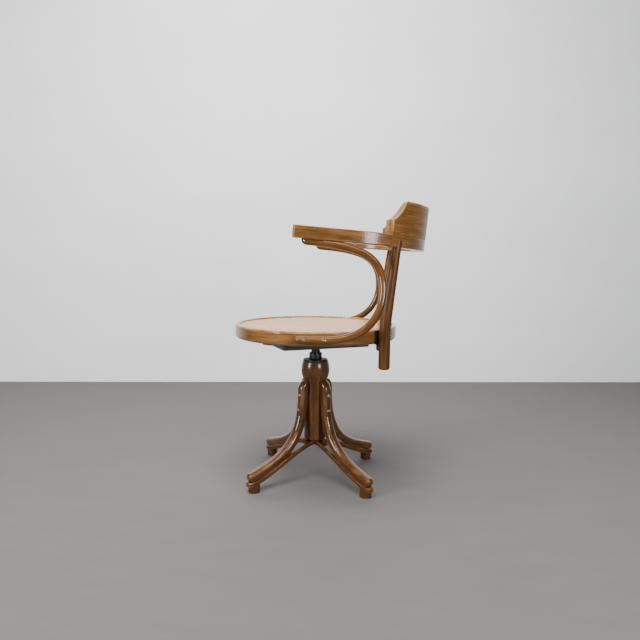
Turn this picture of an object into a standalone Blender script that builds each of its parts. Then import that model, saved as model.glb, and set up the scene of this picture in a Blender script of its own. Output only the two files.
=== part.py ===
"""Swivel armchair of bent and turned beech on a black steel screw spindle.

The chair faces -Y, the sitter's left is +X, and the origin is on the floor under the chair's middle.
The column stands in front of it, and every piece is made round the column's axis and then moved.
Lengths are in metres and angles in degrees. The seat is modelled at its lowest setting.
"""
import math

import bmesh
import bpy
from mathutils import Matrix, Vector

AXIS_Y = -0.0404           # the column's axis

# Clearances
SEAT_GAP = 0.0003          # between pieces that are screwed or glued together
SCREW_GAP = 0.0003         # round the shank and the head of a screw
RUNNING_GAP = 0.0004       # between pieces that turn or slide on each other

# Braces: two bows that cross under the column
CROSSING_Z = 0.0985        # middle of the braces where they cross
BRACE_THICK = 0.0135
BRACE_WIDTH = 0.0250
BRACE_REACH = 0.2310       # column axis to the tip
BRACE_TIP_Z = 0.0228
BRACE_CROWN_PULL = 0.0660
BRACE_TIP_PULL = 0.0640
BRACE_EDGE = 0.0028

# Legs
LEG_THICK = 0.0228
LEG_WIDTH = 0.0270
LEG_REACH = 0.2270
LEG_TIP_SLOPE = 15.0
LEG_TIP_LAP = 0.0012       # taken off the leg where it lies on the brace
LEG_TOP_DROP = 0.0560      # hub top to the leg's top
LEG_BEND_DROP = 0.0850     # hub top to where the leg starts to bend
LEG_BEND_PULL = 0.1475
LEG_TIP_PULL = 0.1200
LEG_EDGE = 0.0050
LEG_AZIMUTH = 45.0         # first leg, from +X
LEG_COUNT = 4

# Feet
FOOT_CIRCLE = 0.2087       # column axis to a foot's axis
FOOT_RADIUS = 0.0156
FOOT_SOLE_RADIUS = 0.0138
FOOT_SPIGOT_RADIUS = 0.0050
FOOT_SPIGOT_RISE = 0.0240  # above the underside of the brace

# Turned hub
HUB_HEIGHT = 0.2286
HUB_BULGE_RADIUS = 0.0404
HUB_NECK_RADIUS = 0.0346
HUB_BULGE_HEIGHT = 0.0560
HUB_BULGE_DROP = 0.0245    # hub top to where the bulge is widest
HUB_TOP_EDGE = 0.0012
HUB_FOOT_RADIUS = 0.0304
HUB_TAPER_DROP = 0.1276    # hub top to where the column starts to taper
HUB_TAPER_LENGTH = 0.0750
HUB_BORE_DEPTH = 0.1876
HUB_EDGE = 0.0050

# Steel in the hub
PLATE_RADIUS = 0.0342
PLATE_THICK = 0.0030
PLATE_EDGE = 0.0012
PLATE_SCREW_CIRCLE = 0.0258
PLATE_SCREW_COUNT = 3
TUBE_WALL = 0.0030
TUBE_LENGTH = 0.1826
KEY_RADIUS = 0.0020
KEY_DROP = 0.0420          # hub top to the key
KEYWAY_DEPTH = 0.0032

# Spindle and nut
SPINDLE_RADIUS = 0.01335
SPINDLE_TRAVEL = 0.0900
SPINDLE_HOLD = 0.1300      # below the shoulder, what stays in the nut and the tube at full height
SPINDLE_CHAMFER = 0.0020
JOURNAL_RADIUS = 0.0100
JOURNAL_LENGTH = 0.0340
NUT_RADIUS = 0.0181
NUT_HEIGHT = 0.0177
NUT_EDGE = 0.0014
NECK_LENGTH = 0.0209       # spindle that shows between the nut and its shoulder
WASHER_RADIUS = 0.0170
WASHER_THICK = 0.0012
CLIP_RADIUS = 0.0135
CLIP_THICK = 0.0012
CLIP_GROOVE = 0.0014
SOCKET_FLANGE_RADIUS = 0.0340
SOCKET_FLANGE_THICK = 0.0040
SOCKET_RADIUS = 0.0200
SOCKET_HEIGHT = 0.0240

# Pressed steel spider under the seat
PAN_LENGTH = 0.2500
PAN_WIDTH = 0.1800
PAN_DEPTH = 0.0248
PAN_WALL = 0.0024
PAN_CORNER = 0.0060
PAN_TURN = 117.0           # long side of the pan, from +X
ARM_BAR_WIDTH = 0.0280
ARM_BAR_THICK = 0.0030
ARM_BAR_INSET = 0.0100     # seat ring's outside to the bar's end
ARM_BAR_SPREAD = 33.0      # from the pan's long side
SPIDER_SCREW_INSET = 0.0200

# Seat ring and panel
SEAT_RADIUS = 0.2250
RIM_HEIGHT = 0.0360
RIM_WIDTH = 0.0320
RIM_TOP_ROUND = 0.0055
RIM_LOW_ROUND = 0.0060
RIM_INNER_EDGE = 0.0020
REBATE_WIDTH = 0.0198
REBATE_DEPTH = 0.0088
PANEL_THICK = 0.0050
PANEL_DISH = 0.0040

# Arm and back rail
ARM_RISE = 0.2566          # top of the seat rim to the top of the rail over the column
RAIL_TILT = 4.6            # the rail falls towards the back
RAIL_HEIGHT = 0.0310
BOW_CENTRE_Y = 0.0825
BOW_RADIUS = 0.2000        # to the middle of the rail
RAIL_WIDTH = 0.0330
RAIL_EDGE = 0.0022
ARM_WIDTH = 0.0280
ARM_FRONT_Y = -0.0395
ARM_TURN = 84.5            # end of the bow's arc, from the back
ARM_CORNER = 0.0080
JOINT_ANGLE = 56.2         # where the arms meet the back rail, from the back
DOWEL_RADIUS = 0.0040
DOWEL_LENGTH = 0.0180

# Crest
CREST_RISE = 0.0835        # above the rail
CREST_TOP_THICK = 0.0100
CREST_LEAN = 0.8           # of its outer face, beyond the rail's own tilt
CREST_ROUND_START = 0.0400 # height where its inner face starts to round over
CREST_SAW_ANGLE = 65.0     # direction in which its ends are sawn, from the back
CREST_RAMP_LENGTH = 0.0348
CREST_SHOULDER = 0.0361    # height of its low ends
CREST_TOP_PULL = (0.0098, -0.0275)
CREST_SHOULDER_PULL = (-0.0124, 0.0050)
CREST_EDGE = 0.0016

# Rear posts
POST_RADIUS = 0.0148
POST_TOP_RADIUS = 0.0110
POST_ANGLE = 40.0          # at the seat, from the back
POST_TOP_ANGLE = 49.6882   # where the post meets the rail, from the bow's back
POST_TOP_OFFSET = 0.0072   # and how far outside the middle of the rail
POST_DROP = 0.0632         # seat ring's underside to the post's end
POST_BEND_RISE = 0.0150    # seat top to the middle of the post's bend
POST_END_ROUND = 0.0055
POST_TENON_RADIUS = 0.0070
POST_TENON_LENGTH = 0.0160
SPACER_THICK = 0.0054
SPACER_WIDTH = 0.0290

# Arm supports
SUPPORT_RADIUS = 0.0098
SUPPORT_FLAT = 0.0046      # taken off where it lies on the rail and on the seat ring
SUPPORT_UPPER_Y = -0.0050
SUPPORT_UPPER_PULL = 0.1270
SUPPORT_TIP = ((0.50, 0.0110), (0.78, 0.0085), (0.94, 0.0050))   # thickness left, and reach beyond
SUPPORT_BACK_Y = 0.1801
SUPPORT_BACK_RISE = 0.1030 # seat top to its rearmost point
SUPPORT_BACK_UP_PULL = 0.0870
SUPPORT_BACK_DOWN_PULL = 0.0327
SUPPORT_LOWER_PULL = 0.1268
SUPPORT_LOWER_TURN_Y = 0.0389
SUPPORT_LOWER_Y = -0.0320
SUPPORT_UPPER_X = 0.2070
SUPPORT_SCREW_FRONT_Y = -0.0075
SUPPORT_SCREW_REAR_Y = 0.0420
SUPPORT_RAIL_SCREW_Y = 0.0180

# Screws: head radius, head height, shank radius, length under the head
LEG_SCREW = (0.0046, 0.0030, 0.0022, 0.0340)
PLATE_SCREW = (0.0034, 0.0012, 0.0016, 0.0160)
SPIDER_SCREW = (0.0045, 0.0022, 0.0020, 0.0180)
SUPPORT_SCREW = (0.0045, 0.0018, 0.0020, 0.0240)
POST_SCREW = (0.0060, 0.0030, 0.0026, 0.0560)
BRACE_SCREW = (0.0090, 0.0040, 0.0040, 0.0420)
LEG_SCREW_DROPS = (0.0947, 0.1365)   # hub top to each leg screw
HEAD_SINK = 0.0012         # how deep a screw's counterbore goes

# Faceting
FINE = 40
MEDIUM = 24
SMALL = 8

PARTS = "Swivel_armchair"
CUTTERS = "Cutters"

# Heights that follow from the sizes above
HUB_BOTTOM_Z = CROSSING_Z + BRACE_THICK / 2 + SEAT_GAP
HUB_TOP_Z = HUB_BOTTOM_Z + HUB_HEIGHT
PLATE_Z = HUB_TOP_Z + SEAT_GAP
NUT_Z = PLATE_Z + PLATE_THICK + RUNNING_GAP
SHOULDER_Z = NUT_Z + NUT_HEIGHT + NECK_LENGTH
WASHER_Z = SHOULDER_Z + SEAT_GAP
PAN_Z = WASHER_Z + WASHER_THICK + RUNNING_GAP
SOCKET_Z = PAN_Z + PAN_WALL + SEAT_GAP
RIM_Z = PAN_Z + PAN_DEPTH + SEAT_GAP
SEAT_TOP_Z = RIM_Z + RIM_HEIGHT
PANEL_Z = SEAT_TOP_Z - REBATE_DEPTH + SEAT_GAP
RAIL_TOP_Z = SEAT_TOP_Z + ARM_RISE

TUBE_BORE = SPINDLE_RADIUS + RUNNING_GAP
TUBE_RADIUS = TUBE_BORE + TUBE_WALL
HUB_BORE_RADIUS = TUBE_RADIUS + SEAT_GAP
LEG_INNER_RADIUS = HUB_NECK_RADIUS + SEAT_GAP
JOINT_GAP_ANGLE = math.degrees(SEAT_GAP / BOW_RADIUS)

BEECH = ((0.205, 0.085, 0.028), 0.32, 0.0)
DARK_BEECH = ((0.120, 0.045, 0.017), 0.35, 0.0)
PALE_PLY = ((0.330, 0.180, 0.090), 0.30, 0.0)
BLACK_WOOD = ((0.015, 0.012, 0.010), 0.60, 0.0)
BLACK_STEEL = ((0.012, 0.012, 0.013), 0.35, 0.8)
BRIGHT_STEEL = ((0.420, 0.400, 0.370), 0.30, 1.0)


def collection(name):
    """The named collection, made on first use."""
    found = bpy.data.collections.get(name)
    if found is None:
        found = bpy.data.collections.new(name)
        bpy.context.scene.collection.children.link(found)
    return found


def finish_piece(piece, finish):
    """Links a piece to the parts and gives it its own material."""
    colour, roughness, metallic = finish
    material = bpy.data.materials.new(piece.name)
    material.use_nodes = True
    shader = material.node_tree.nodes["Principled BSDF"]
    shader.inputs["Base Color"].default_value = (*colour, 1.0)
    shader.inputs["Roughness"].default_value = roughness
    shader.inputs["Metallic"].default_value = metallic
    material.diffuse_color = (*colour, 1.0)
    piece.data.materials.clear()
    piece.data.materials.append(material)
    collection(PARTS).objects.link(piece)
    return piece


def as_cutter(piece):
    """Links a solid that only cuts or joins others."""
    piece.hide_render = True
    piece.display_type = "WIRE"
    collection(CUTTERS).objects.link(piece)
    return piece


def combine(piece, tool, operation="DIFFERENCE"):
    """Adds an exact Boolean modifier."""
    modifier = piece.modifiers.new(tool.name, "BOOLEAN")
    modifier.object = tool
    modifier.operation = operation
    modifier.solver = "EXACT"
    return piece


def soften(piece, width, segments=2, angle=42.0):
    """Rounds the sharp edges of a piece."""
    modifier = piece.modifiers.new("rounded_edges", "BEVEL")
    modifier.width = width
    modifier.segments = segments
    modifier.limit_method = "ANGLE"
    modifier.angle_limit = math.radians(angle)
    modifier.use_clamp_overlap = False
    return piece


def bezier(start, start_pull, end_pull, end, steps):
    """Points along a cubic curve between two ends and their two pulled handles."""
    ends = [Vector(start), Vector(start) + Vector(start_pull), Vector(end) + Vector(end_pull), Vector(end)]
    points = []
    for step in range(steps + 1):
        t = step / steps
        weights = ((1 - t) ** 3, 3 * t * (1 - t) ** 2, 3 * t * t * (1 - t), t ** 3)
        points.append(sum((w * p for w, p in zip(weights, ends)), Vector((0.0,) * len(start))))
    return points


def sides_of(points, half):
    """The two lines that lie half a thickness to the left and right of a flat path."""
    left = []
    right = []
    for index, point in enumerate(points):
        before = points[max(index - 1, 0)]
        after = points[min(index + 1, len(points) - 1)]
        along = (after - before).normalized()
        across = Vector((-along.y, along.x))
        left.append(point + across * half)
        right.append(point - across * half)
    return left, right


def arc(centre, radius, start, end, steps):
    """Points of a flat arc, angles in degrees."""
    points = []
    for step in range(steps + 1):
        angle = math.radians(start + (end - start) * step / steps)
        points.append(Vector((centre[0] + radius * math.cos(angle), centre[1] + radius * math.sin(angle))))
    return points


def fillet(before, corner, after, radius, steps=4):
    """The arc that rounds the corner of a flat outline."""
    back = (before - corner).normalized()
    ahead = (after - corner).normalized()
    half = back.angle(ahead) / 2
    reach = radius / math.tan(half)
    middle = corner + (back + ahead).normalized() * (radius / math.sin(half))
    first = corner + back * reach - middle
    last = corner + ahead * reach - middle
    turn = first.angle_signed(last)
    return [middle + Matrix.Rotation(-turn * step / steps, 2) @ first for step in range(steps + 1)]


def welded_mesh(source, name, flatten=False):
    """A curve as a mesh object with its caps welded on. The curve is removed."""
    collection(CUTTERS).objects.link(source)
    depsgraph = bpy.context.evaluated_depsgraph_get()
    mesh = bpy.data.meshes.new_from_object(source.evaluated_get(depsgraph))
    shape = bmesh.new()
    shape.from_mesh(mesh)
    bmesh.ops.remove_doubles(shape, verts=shape.verts, dist=0.00001)
    if flatten:
        bmesh.ops.dissolve_limit(shape, angle_limit=math.radians(0.2), verts=shape.verts, edges=shape.edges)
    bmesh.ops.recalc_face_normals(shape, faces=shape.faces)
    shape.to_mesh(mesh)
    shape.free()
    piece = bpy.data.objects.new(name, mesh)
    piece.matrix_world = source.matrix_world
    bpy.data.objects.remove(source, do_unlink=True)
    mesh.name = name
    mesh.shade_smooth()
    mesh.set_sharp_from_angle(angle=math.radians(35))
    return piece


def slab(name, outline, thickness):
    """A flat outline in the object's XY plane, with its thickness centred on that plane."""
    curve = bpy.data.curves.new(name, "CURVE")
    curve.dimensions = "2D"
    curve.fill_mode = "BOTH"
    curve.extrude = thickness / 2
    spline = curve.splines.new("POLY")
    spline.points.add(len(outline) - 1)
    for point, place in zip(spline.points, outline):
        point.co = (place[0], place[1], 0.0, 1.0)
    spline.use_cyclic_u = True
    return welded_mesh(bpy.data.objects.new(name + "_outline", curve), name, flatten=True)


def rod(name, points, radius, shares):
    """A round rod along a path. shares scales its radius at each point."""
    curve = bpy.data.curves.new(name, "CURVE")
    curve.dimensions = "3D"
    curve.bevel_depth = radius
    curve.bevel_resolution = 4
    curve.use_fill_caps = True
    spline = curve.splines.new("POLY")
    spline.points.add(len(points) - 1)
    for point, place, share in zip(spline.points, points, shares):
        point.co = (*place, 1.0)
        point.radius = share
    return welded_mesh(bpy.data.objects.new(name + "_path", curve), name)


def turned(name, outline, steps, closed=False):
    """A turned piece. Its outline of (radius, height) runs from the top down the outer side."""
    mesh = bpy.data.meshes.new(name)
    points = [(radius, 0.0, height) for radius, height in outline]
    edges = [(index, index + 1) for index in range(len(points) - 1)]
    if closed:
        edges.append((len(points) - 1, 0))
    mesh.from_pydata(points, edges, [])
    piece = bpy.data.objects.new(name, mesh)
    modifier = piece.modifiers.new("turning", "SCREW")
    modifier.steps = steps
    modifier.render_steps = steps
    modifier.use_merge_vertices = True
    modifier.merge_threshold = 0.00001
    return piece


def spun(name, section, centre_y, start, end, steps):
    """A (radius, height) section swept about a vertical axis, angles from the back (+Y)."""
    shape = bmesh.new()
    angle = math.radians(90.0 - start)
    corners = []
    for radius, height in section:
        place = (radius * math.cos(angle), centre_y + radius * math.sin(angle), height)
        corners.append(shape.verts.new(place))
    face = shape.faces.new(corners)
    bmesh.ops.spin(shape, geom=[face, *face.edges, *face.verts], cent=(0.0, centre_y, 0.0),
                   axis=(0.0, 0.0, 1.0), angle=math.radians(start - end), steps=steps, use_duplicate=False)
    bmesh.ops.recalc_face_normals(shape, faces=shape.faces)
    mesh = bpy.data.meshes.new(name)
    shape.to_mesh(mesh)
    shape.free()
    mesh.shade_smooth()
    mesh.set_sharp_from_angle(angle=math.radians(35))
    return bpy.data.objects.new(name, mesh)


def block(name, size, centre=(0.0, 0.0, 0.0)):
    """A box."""
    shape = bmesh.new()
    place = Matrix.Translation(centre) @ Matrix.Diagonal((*size, 1.0))
    bmesh.ops.create_cube(shape, size=1.0, matrix=place)
    mesh = bpy.data.meshes.new(name)
    shape.to_mesh(mesh)
    shape.free()
    return bpy.data.objects.new(name, mesh)


def pegs(name, places, sides=SMALL):
    """Straight or stepped pegs in one object: each has a place and an outline from its low end up."""
    shape = bmesh.new()
    for place, outline in places:
        rings = []
        for radius, height in outline:
            corners = [place @ around(360.0 * step / sides, radius, height) for step in range(sides)]
            rings.append([shape.verts.new(corner) for corner in corners])
        for low, high in zip(rings, rings[1:]):
            for step in range(sides):
                after = (step + 1) % sides
                shape.faces.new((low[step], low[after], high[after], high[step]))
        shape.faces.new(rings[0][::-1])
        shape.faces.new(rings[-1])
    mesh = bpy.data.meshes.new(name)
    shape.to_mesh(mesh)
    shape.free()
    return bpy.data.objects.new(name, mesh)


def peg(radius, low, high):
    """Outline of a straight peg."""
    return [(radius, low), (radius, high)]


def aimed(point, direction):
    """A place at the point, with its Z along the direction."""
    turn = Vector(direction).to_track_quat("Z", "Y").to_matrix().to_4x4()
    return Matrix.Translation(point) @ turn


def around(angle, radius=0.0, height=0.0):
    """The point at an angle from +X, in degrees."""
    turn = math.radians(angle)
    return Vector((radius * math.cos(turn), radius * math.sin(turn), height))


def from_back(angle, radius, height=0.0, centre_y=0.0):
    """The point at an angle from the back (+Y), towards +X."""
    return around(90.0 - angle, radius, height) + Vector((0.0, centre_y, 0.0))


def height_on(points, reach):
    """Height of a flat path where it passes a distance along its first coordinate."""
    for low, high in zip(points, points[1:]):
        if low.x <= reach <= high.x:
            return low.y + (high.y - low.y) * (reach - low.x) / (high.x - low.x)
    raise ValueError("the path does not reach that far")


def reach_on(points, height):
    """First coordinate of a flat path where it falls past a height."""
    for high, low in zip(points, points[1:]):
        if low.y <= height <= high.y:
            return low.x + (high.x - low.x) * (height - low.y) / (high.y - low.y)
    raise ValueError("the path does not reach that height")


holes = {}


def bore(target, place, outline):
    """Notes a round hole, which drill_holes cuts. Its flats lie at the stated radius."""
    corner = 1 / math.cos(math.pi / SMALL)
    stated = [(radius * corner, height) for radius, height in outline]
    holes.setdefault(target.name, []).append((place, stated))


def drill_holes():
    """Cuts each piece's holes with one cutter."""
    for name, places in holes.items():
        tool = as_cutter(pegs(name + "_holes", places))
        combine(bpy.data.objects[name], tool)


def screw(name, point, outward, kind, through, finish=BRIGHT_STEEL):
    """A round-headed screw. through lists what it passes, and the head sits in the first."""
    head_radius, head_height, shank_radius, length = kind
    dome = []
    for step in range(3):
        angle = math.radians(90.0 - 35.0 * step)
        dome.append((head_radius * math.cos(angle), head_height * math.sin(angle)))
    outline = dome + [(head_radius, 0.0), (shank_radius, 0.0), (shank_radius, shank_radius * 2 - length),
                      (0.0, -length)]
    piece = finish_piece(turned(name, outline, SMALL), finish)
    place = aimed(Vector(point), outward)
    piece.matrix_world = place
    shank = peg(shank_radius + SCREW_GAP, -length - SCREW_GAP, -SEAT_GAP)
    head = peg(head_radius + SCREW_GAP, -SEAT_GAP, LEG_THICK)
    bore(through[0], place, shank + head)
    for target in through[1:]:
        bore(target, place, shank)
    return piece


def brace_path():
    """Middle line of half a brace, from the column outwards."""
    return bezier((0.0, CROSSING_Z), (BRACE_CROWN_PULL, 0.0), (-BRACE_TIP_PULL, 0.0),
                  (BRACE_REACH, BRACE_TIP_Z), 10)


def brace_outline(extra=0.0):
    """Outline of a whole brace in its upright plane, thicker by extra on each side."""
    half_path = brace_path()
    path = [Vector((-point.x, point.y)) for point in reversed(half_path[1:])] + half_path
    upper, lower = sides_of(path, BRACE_THICK / 2 + extra)
    return upper + lower[::-1]


def upright(piece, azimuth):
    """Stands a flat piece on the upright plane at an azimuth."""
    piece.rotation_euler = (math.pi / 2, 0.0, math.radians(azimuth))
    return piece


def make_braces():
    """Two bows, halved into each other where they cross."""
    braces = []
    lap_side = BRACE_WIDTH + 2 * SEAT_GAP
    for name, azimuth, side in (("brace_lower", -LEG_AZIMUTH, 1), ("brace_upper", LEG_AZIMUTH, -1)):
        brace = finish_piece(upright(slab(name, brace_outline(), BRACE_WIDTH), azimuth), DARK_BEECH)
        soften(brace, BRACE_EDGE)
        lap = as_cutter(block(name + "_lap", (lap_side, lap_side, BRACE_THICK)))
        lap.location = (0.0, 0.0, CROSSING_Z + side * (BRACE_THICK - SEAT_GAP) / 2)
        lap.rotation_euler = (0.0, 0.0, math.radians(azimuth))
        combine(brace, lap)
        braces.append(brace)
    return braces


def make_hub():
    """The turned column with its bulged head, bored from the top for the guide tube."""
    chord = HUB_BULGE_HEIGHT / 2
    sagitta = HUB_BULGE_RADIUS - HUB_NECK_RADIUS
    bulge = (chord ** 2 + sagitta ** 2) / (2 * sagitta)
    half_turn = math.degrees(math.asin(chord / bulge))
    top_turn = math.degrees(math.asin((HUB_BULGE_DROP - HUB_TOP_EDGE) / bulge))
    middle = (HUB_BULGE_RADIUS - bulge, HUB_TOP_Z - HUB_BULGE_DROP)
    head = arc(middle, bulge, top_turn, -half_turn, 8)
    taper_z = HUB_TOP_Z - HUB_TAPER_DROP
    foot_round = arc((HUB_FOOT_RADIUS - HUB_EDGE, HUB_BOTTOM_Z + HUB_EDGE), HUB_EDGE, 0.0, -90.0, 3)
    outline = [(head[0].x - HUB_TOP_EDGE, HUB_TOP_Z)] + [tuple(point) for point in head]
    outline += [(HUB_NECK_RADIUS, taper_z), (HUB_FOOT_RADIUS, taper_z - HUB_TAPER_LENGTH)]
    outline += [tuple(point) for point in foot_round]
    outline += [(0.0, HUB_BOTTOM_Z), (0.0, HUB_TOP_Z - HUB_BORE_DEPTH)]
    outline += [(HUB_BORE_RADIUS, HUB_TOP_Z - HUB_BORE_DEPTH), (HUB_BORE_RADIUS, HUB_TOP_Z)]
    return finish_piece(turned("hub", outline, MEDIUM, closed=True), BEECH)


def leg_path():
    """Middle line of a leg in its upright plane, from the top of its bend to its tip."""
    radius = LEG_INNER_RADIUS + LEG_THICK / 2
    slope = math.radians(LEG_TIP_SLOPE)
    brace_top = height_on(brace_path(), LEG_REACH) + BRACE_THICK / 2
    tip_z = brace_top + LEG_THICK / 2 / math.cos(slope) - LEG_TIP_LAP
    pull = LEG_TIP_PULL
    return bezier((radius, HUB_TOP_Z - LEG_BEND_DROP), (0.0, -LEG_BEND_PULL),
                  (-pull * math.cos(slope), pull * math.sin(slope)), (LEG_REACH, tip_z), 12)


def resting_on(line, support):
    """A flat line raised wherever it would pass below a support line."""
    clear = [point for point in line if point.y > support[0].y + BRACE_THICK]
    low = line[len(clear) - 1:]
    stations = {point.x for point in low} | {point.x for point in support if low[0].x < point.x < low[-1].x}
    for reach in sorted(stations)[1:]:
        clear.append(Vector((reach, max(height_on(low, reach), height_on(support, reach)))))
    return clear


def make_legs(hub):
    """Four bent legs, each held to the column by two screws and shaped to lie on its brace."""
    top_z = HUB_TOP_Z - LEG_TOP_DROP
    outer, inner = sides_of(leg_path(), LEG_THICK / 2)
    brace_top, _ = sides_of(brace_path(), BRACE_THICK / 2 + SEAT_GAP)
    inner = resting_on(inner, brace_top)
    crown = arc((LEG_INNER_RADIUS, top_z - LEG_THICK), LEG_THICK, 0.0, 90.0, 5)
    outline = inner + outer[::-1] + crown
    legs = []
    names = ("leg_rear_left", "leg_rear_right", "leg_front_right", "leg_front_left")
    for index, name in enumerate(names):
        azimuth = LEG_AZIMUTH + 360.0 / LEG_COUNT * index
        leg = finish_piece(upright(slab(name, outline, LEG_WIDTH), azimuth), DARK_BEECH)
        soften(leg, LEG_EDGE)
        for number, drop in enumerate(LEG_SCREW_DROPS, start=1):
            height = HUB_TOP_Z - drop
            face = reach_on(outer, height)
            point = around(azimuth, face - HEAD_SINK, height)
            screw(f"{name}_screw_{number}", point, around(azimuth, 1.0), LEG_SCREW, (leg, hub))
        legs.append(leg)
    return legs


def make_feet(legs, braces):
    """Four turned feet with a spigot that goes up through the brace into the leg."""
    contact_z = height_on(brace_path(), FOOT_CIRCLE) - BRACE_THICK / 2
    top_z = contact_z + BRACE_THICK / 2
    spigot_z = contact_z + FOOT_SPIGOT_RISE
    sole_rise = (FOOT_RADIUS - FOOT_SOLE_RADIUS) * 2
    outline = [(0.0, top_z), (FOOT_RADIUS, top_z), (FOOT_RADIUS, sole_rise * 2), (FOOT_RADIUS - 0.0004, sole_rise),
               (FOOT_SOLE_RADIUS, 0.0), (0.0, 0.0)]
    pattern = as_cutter(slab("brace_pattern", brace_outline(SEAT_GAP), 4 * FOOT_RADIUS))
    upright(pattern, LEG_AZIMUTH)
    across = as_cutter(bpy.data.objects.new("brace_pattern_across", pattern.data))
    upright(across, -LEG_AZIMUTH)
    for index, leg in enumerate(legs):
        azimuth = LEG_AZIMUTH + 360.0 / LEG_COUNT * index
        name = leg.name.replace("leg", "foot")
        foot = finish_piece(turned(name, outline, MEDIUM), DARK_BEECH)
        foot.location = around(azimuth, FOOT_CIRCLE)
        combine(foot, across if index % 2 else pattern)
        place = aimed(around(azimuth, FOOT_CIRCLE), (0.0, 0.0, 1.0))
        spigot = as_cutter(pegs(name + "_spigot", [(place, peg(FOOT_SPIGOT_RADIUS, sole_rise, spigot_z))]))
        combine(foot, spigot, "UNION")
        for target in (leg, braces[(index + 1) % 2]):
            bore(target, place, peg(FOOT_SPIGOT_RADIUS + SEAT_GAP, 0.0, spigot_z + SEAT_GAP))


def make_hub_steel(hub, braces):
    """Top plate, guide tube and key, and the screw that ties the crossing to the column."""
    top_z = PLATE_Z + PLATE_THICK
    bore_radius = SPINDLE_RADIUS + 2 * RUNNING_GAP
    outline = [(bore_radius, top_z), (PLATE_RADIUS - PLATE_EDGE, top_z), (PLATE_RADIUS, top_z - PLATE_EDGE),
               (PLATE_RADIUS, PLATE_Z), (bore_radius, PLATE_Z)]
    plate = finish_piece(turned("hub_plate", outline, MEDIUM, closed=True), BLACK_STEEL)
    for number in range(1, PLATE_SCREW_COUNT + 1):
        point = around(90.0 + 360.0 / PLATE_SCREW_COUNT * number, PLATE_SCREW_CIRCLE, top_z - PLATE_SCREW[1])
        screw(f"plate_screw_{number}", point, (0.0, 0.0, 1.0), PLATE_SCREW, (plate, hub), BLACK_STEEL)
    low = HUB_TOP_Z - TUBE_LENGTH
    outline = [(TUBE_RADIUS, HUB_TOP_Z), (TUBE_RADIUS, low), (TUBE_BORE, low), (TUBE_BORE, HUB_TOP_Z)]
    tube = finish_piece(turned("guide_tube", outline, MEDIUM, closed=True), BRIGHT_STEEL)
    tip = SPINDLE_RADIUS - KEYWAY_DEPTH + RUNNING_GAP
    place = aimed((0.0, 0.0, HUB_TOP_Z - KEY_DROP), (0.0, 1.0, 0.0))
    key = finish_piece(pegs("guide_key", [(place, peg(KEY_RADIUS, tip, TUBE_RADIUS))]), BRIGHT_STEEL)
    bore(tube, place, peg(KEY_RADIUS + SCREW_GAP, 0.0, TUBE_RADIUS * 2))
    under = Vector((0.0, 0.0, CROSSING_Z - BRACE_THICK / 2 + HEAD_SINK))
    screw("crossing_screw", under, (0.0, 0.0, -1.0), BRACE_SCREW, (*braces, hub))
    return plate, key


def make_spindle():
    """Steel screw spindle with a shoulder, a journal for the seat, a groove and a keyway."""
    clip_z = SOCKET_Z + SOCKET_HEIGHT + RUNNING_GAP
    top_z = SHOULDER_Z + JOURNAL_LENGTH
    low = SHOULDER_Z - SPINDLE_TRAVEL - SPINDLE_HOLD
    groove = JOURNAL_RADIUS - CLIP_GROOVE
    clip_top = clip_z + CLIP_THICK
    outline = [(0.0, top_z), (JOURNAL_RADIUS - SEAT_GAP, top_z), (JOURNAL_RADIUS, top_z - SEAT_GAP * 3),
               (JOURNAL_RADIUS, clip_top + SEAT_GAP), (groove, clip_top + SEAT_GAP),
               (groove, clip_z - SEAT_GAP), (JOURNAL_RADIUS, clip_z - SEAT_GAP), (JOURNAL_RADIUS, SHOULDER_Z),
               (SPINDLE_RADIUS, SHOULDER_Z), (SPINDLE_RADIUS, low + SPINDLE_CHAMFER),
               (SPINDLE_RADIUS - SPINDLE_CHAMFER, low), (0.0, low)]
    spindle = finish_piece(turned("spindle", outline, MEDIUM), BLACK_STEEL)
    keyway_top = HUB_TOP_Z - KEY_DROP + KEY_RADIUS * 2
    keyway_low = low - SPINDLE_CHAMFER
    width = 2 * (KEY_RADIUS + RUNNING_GAP)
    middle = (keyway_top + keyway_low) / 2
    keyway = as_cutter(block("keyway", (width, 2 * KEYWAY_DEPTH, keyway_top - keyway_low),
                             (0.0, SPINDLE_RADIUS, middle)))
    combine(spindle, keyway)
    washer_bore = JOURNAL_RADIUS + SEAT_GAP
    outline = [(WASHER_RADIUS, WASHER_Z + WASHER_THICK), (WASHER_RADIUS, WASHER_Z), (washer_bore, WASHER_Z),
               (washer_bore, WASHER_Z + WASHER_THICK)]
    washer = finish_piece(turned("thrust_washer", outline, MEDIUM, closed=True), BRIGHT_STEEL)
    clip_bore = groove + SEAT_GAP
    outline = [(CLIP_RADIUS, clip_top), (CLIP_RADIUS, clip_z), (clip_bore, clip_z), (clip_bore, clip_top)]
    clip = finish_piece(turned("retaining_clip", outline, MEDIUM, closed=True), BRIGHT_STEEL)
    return spindle, washer, clip


def make_nut():
    """Collar nut that carries the spindle and turns on the hub plate."""
    top_z = NUT_Z + NUT_HEIGHT
    bore_radius = SPINDLE_RADIUS + RUNNING_GAP
    outline = [(bore_radius, top_z), (NUT_RADIUS - NUT_EDGE, top_z), (NUT_RADIUS, top_z - NUT_EDGE),
               (NUT_RADIUS, NUT_Z + NUT_EDGE), (NUT_RADIUS - NUT_EDGE, NUT_Z), (bore_radius, NUT_Z)]
    return finish_piece(turned("collar_nut", outline, MEDIUM, closed=True), BLACK_STEEL)


def pan_corners(inset):
    """Rounded rectangle of the pan, its long side along X."""
    half_length = PAN_LENGTH / 2 - inset
    half_width = PAN_WIDTH / 2 - inset
    corners = [Vector((x * half_length, y * half_width)) for x, y in ((1, 1), (-1, 1), (-1, -1), (1, -1))]
    outline = []
    for index, corner in enumerate(corners):
        radius = PAN_CORNER - inset
        outline += fillet(corners[index - 1], corner, corners[(index + 1) % 4], radius, 3)
    return outline


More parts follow.
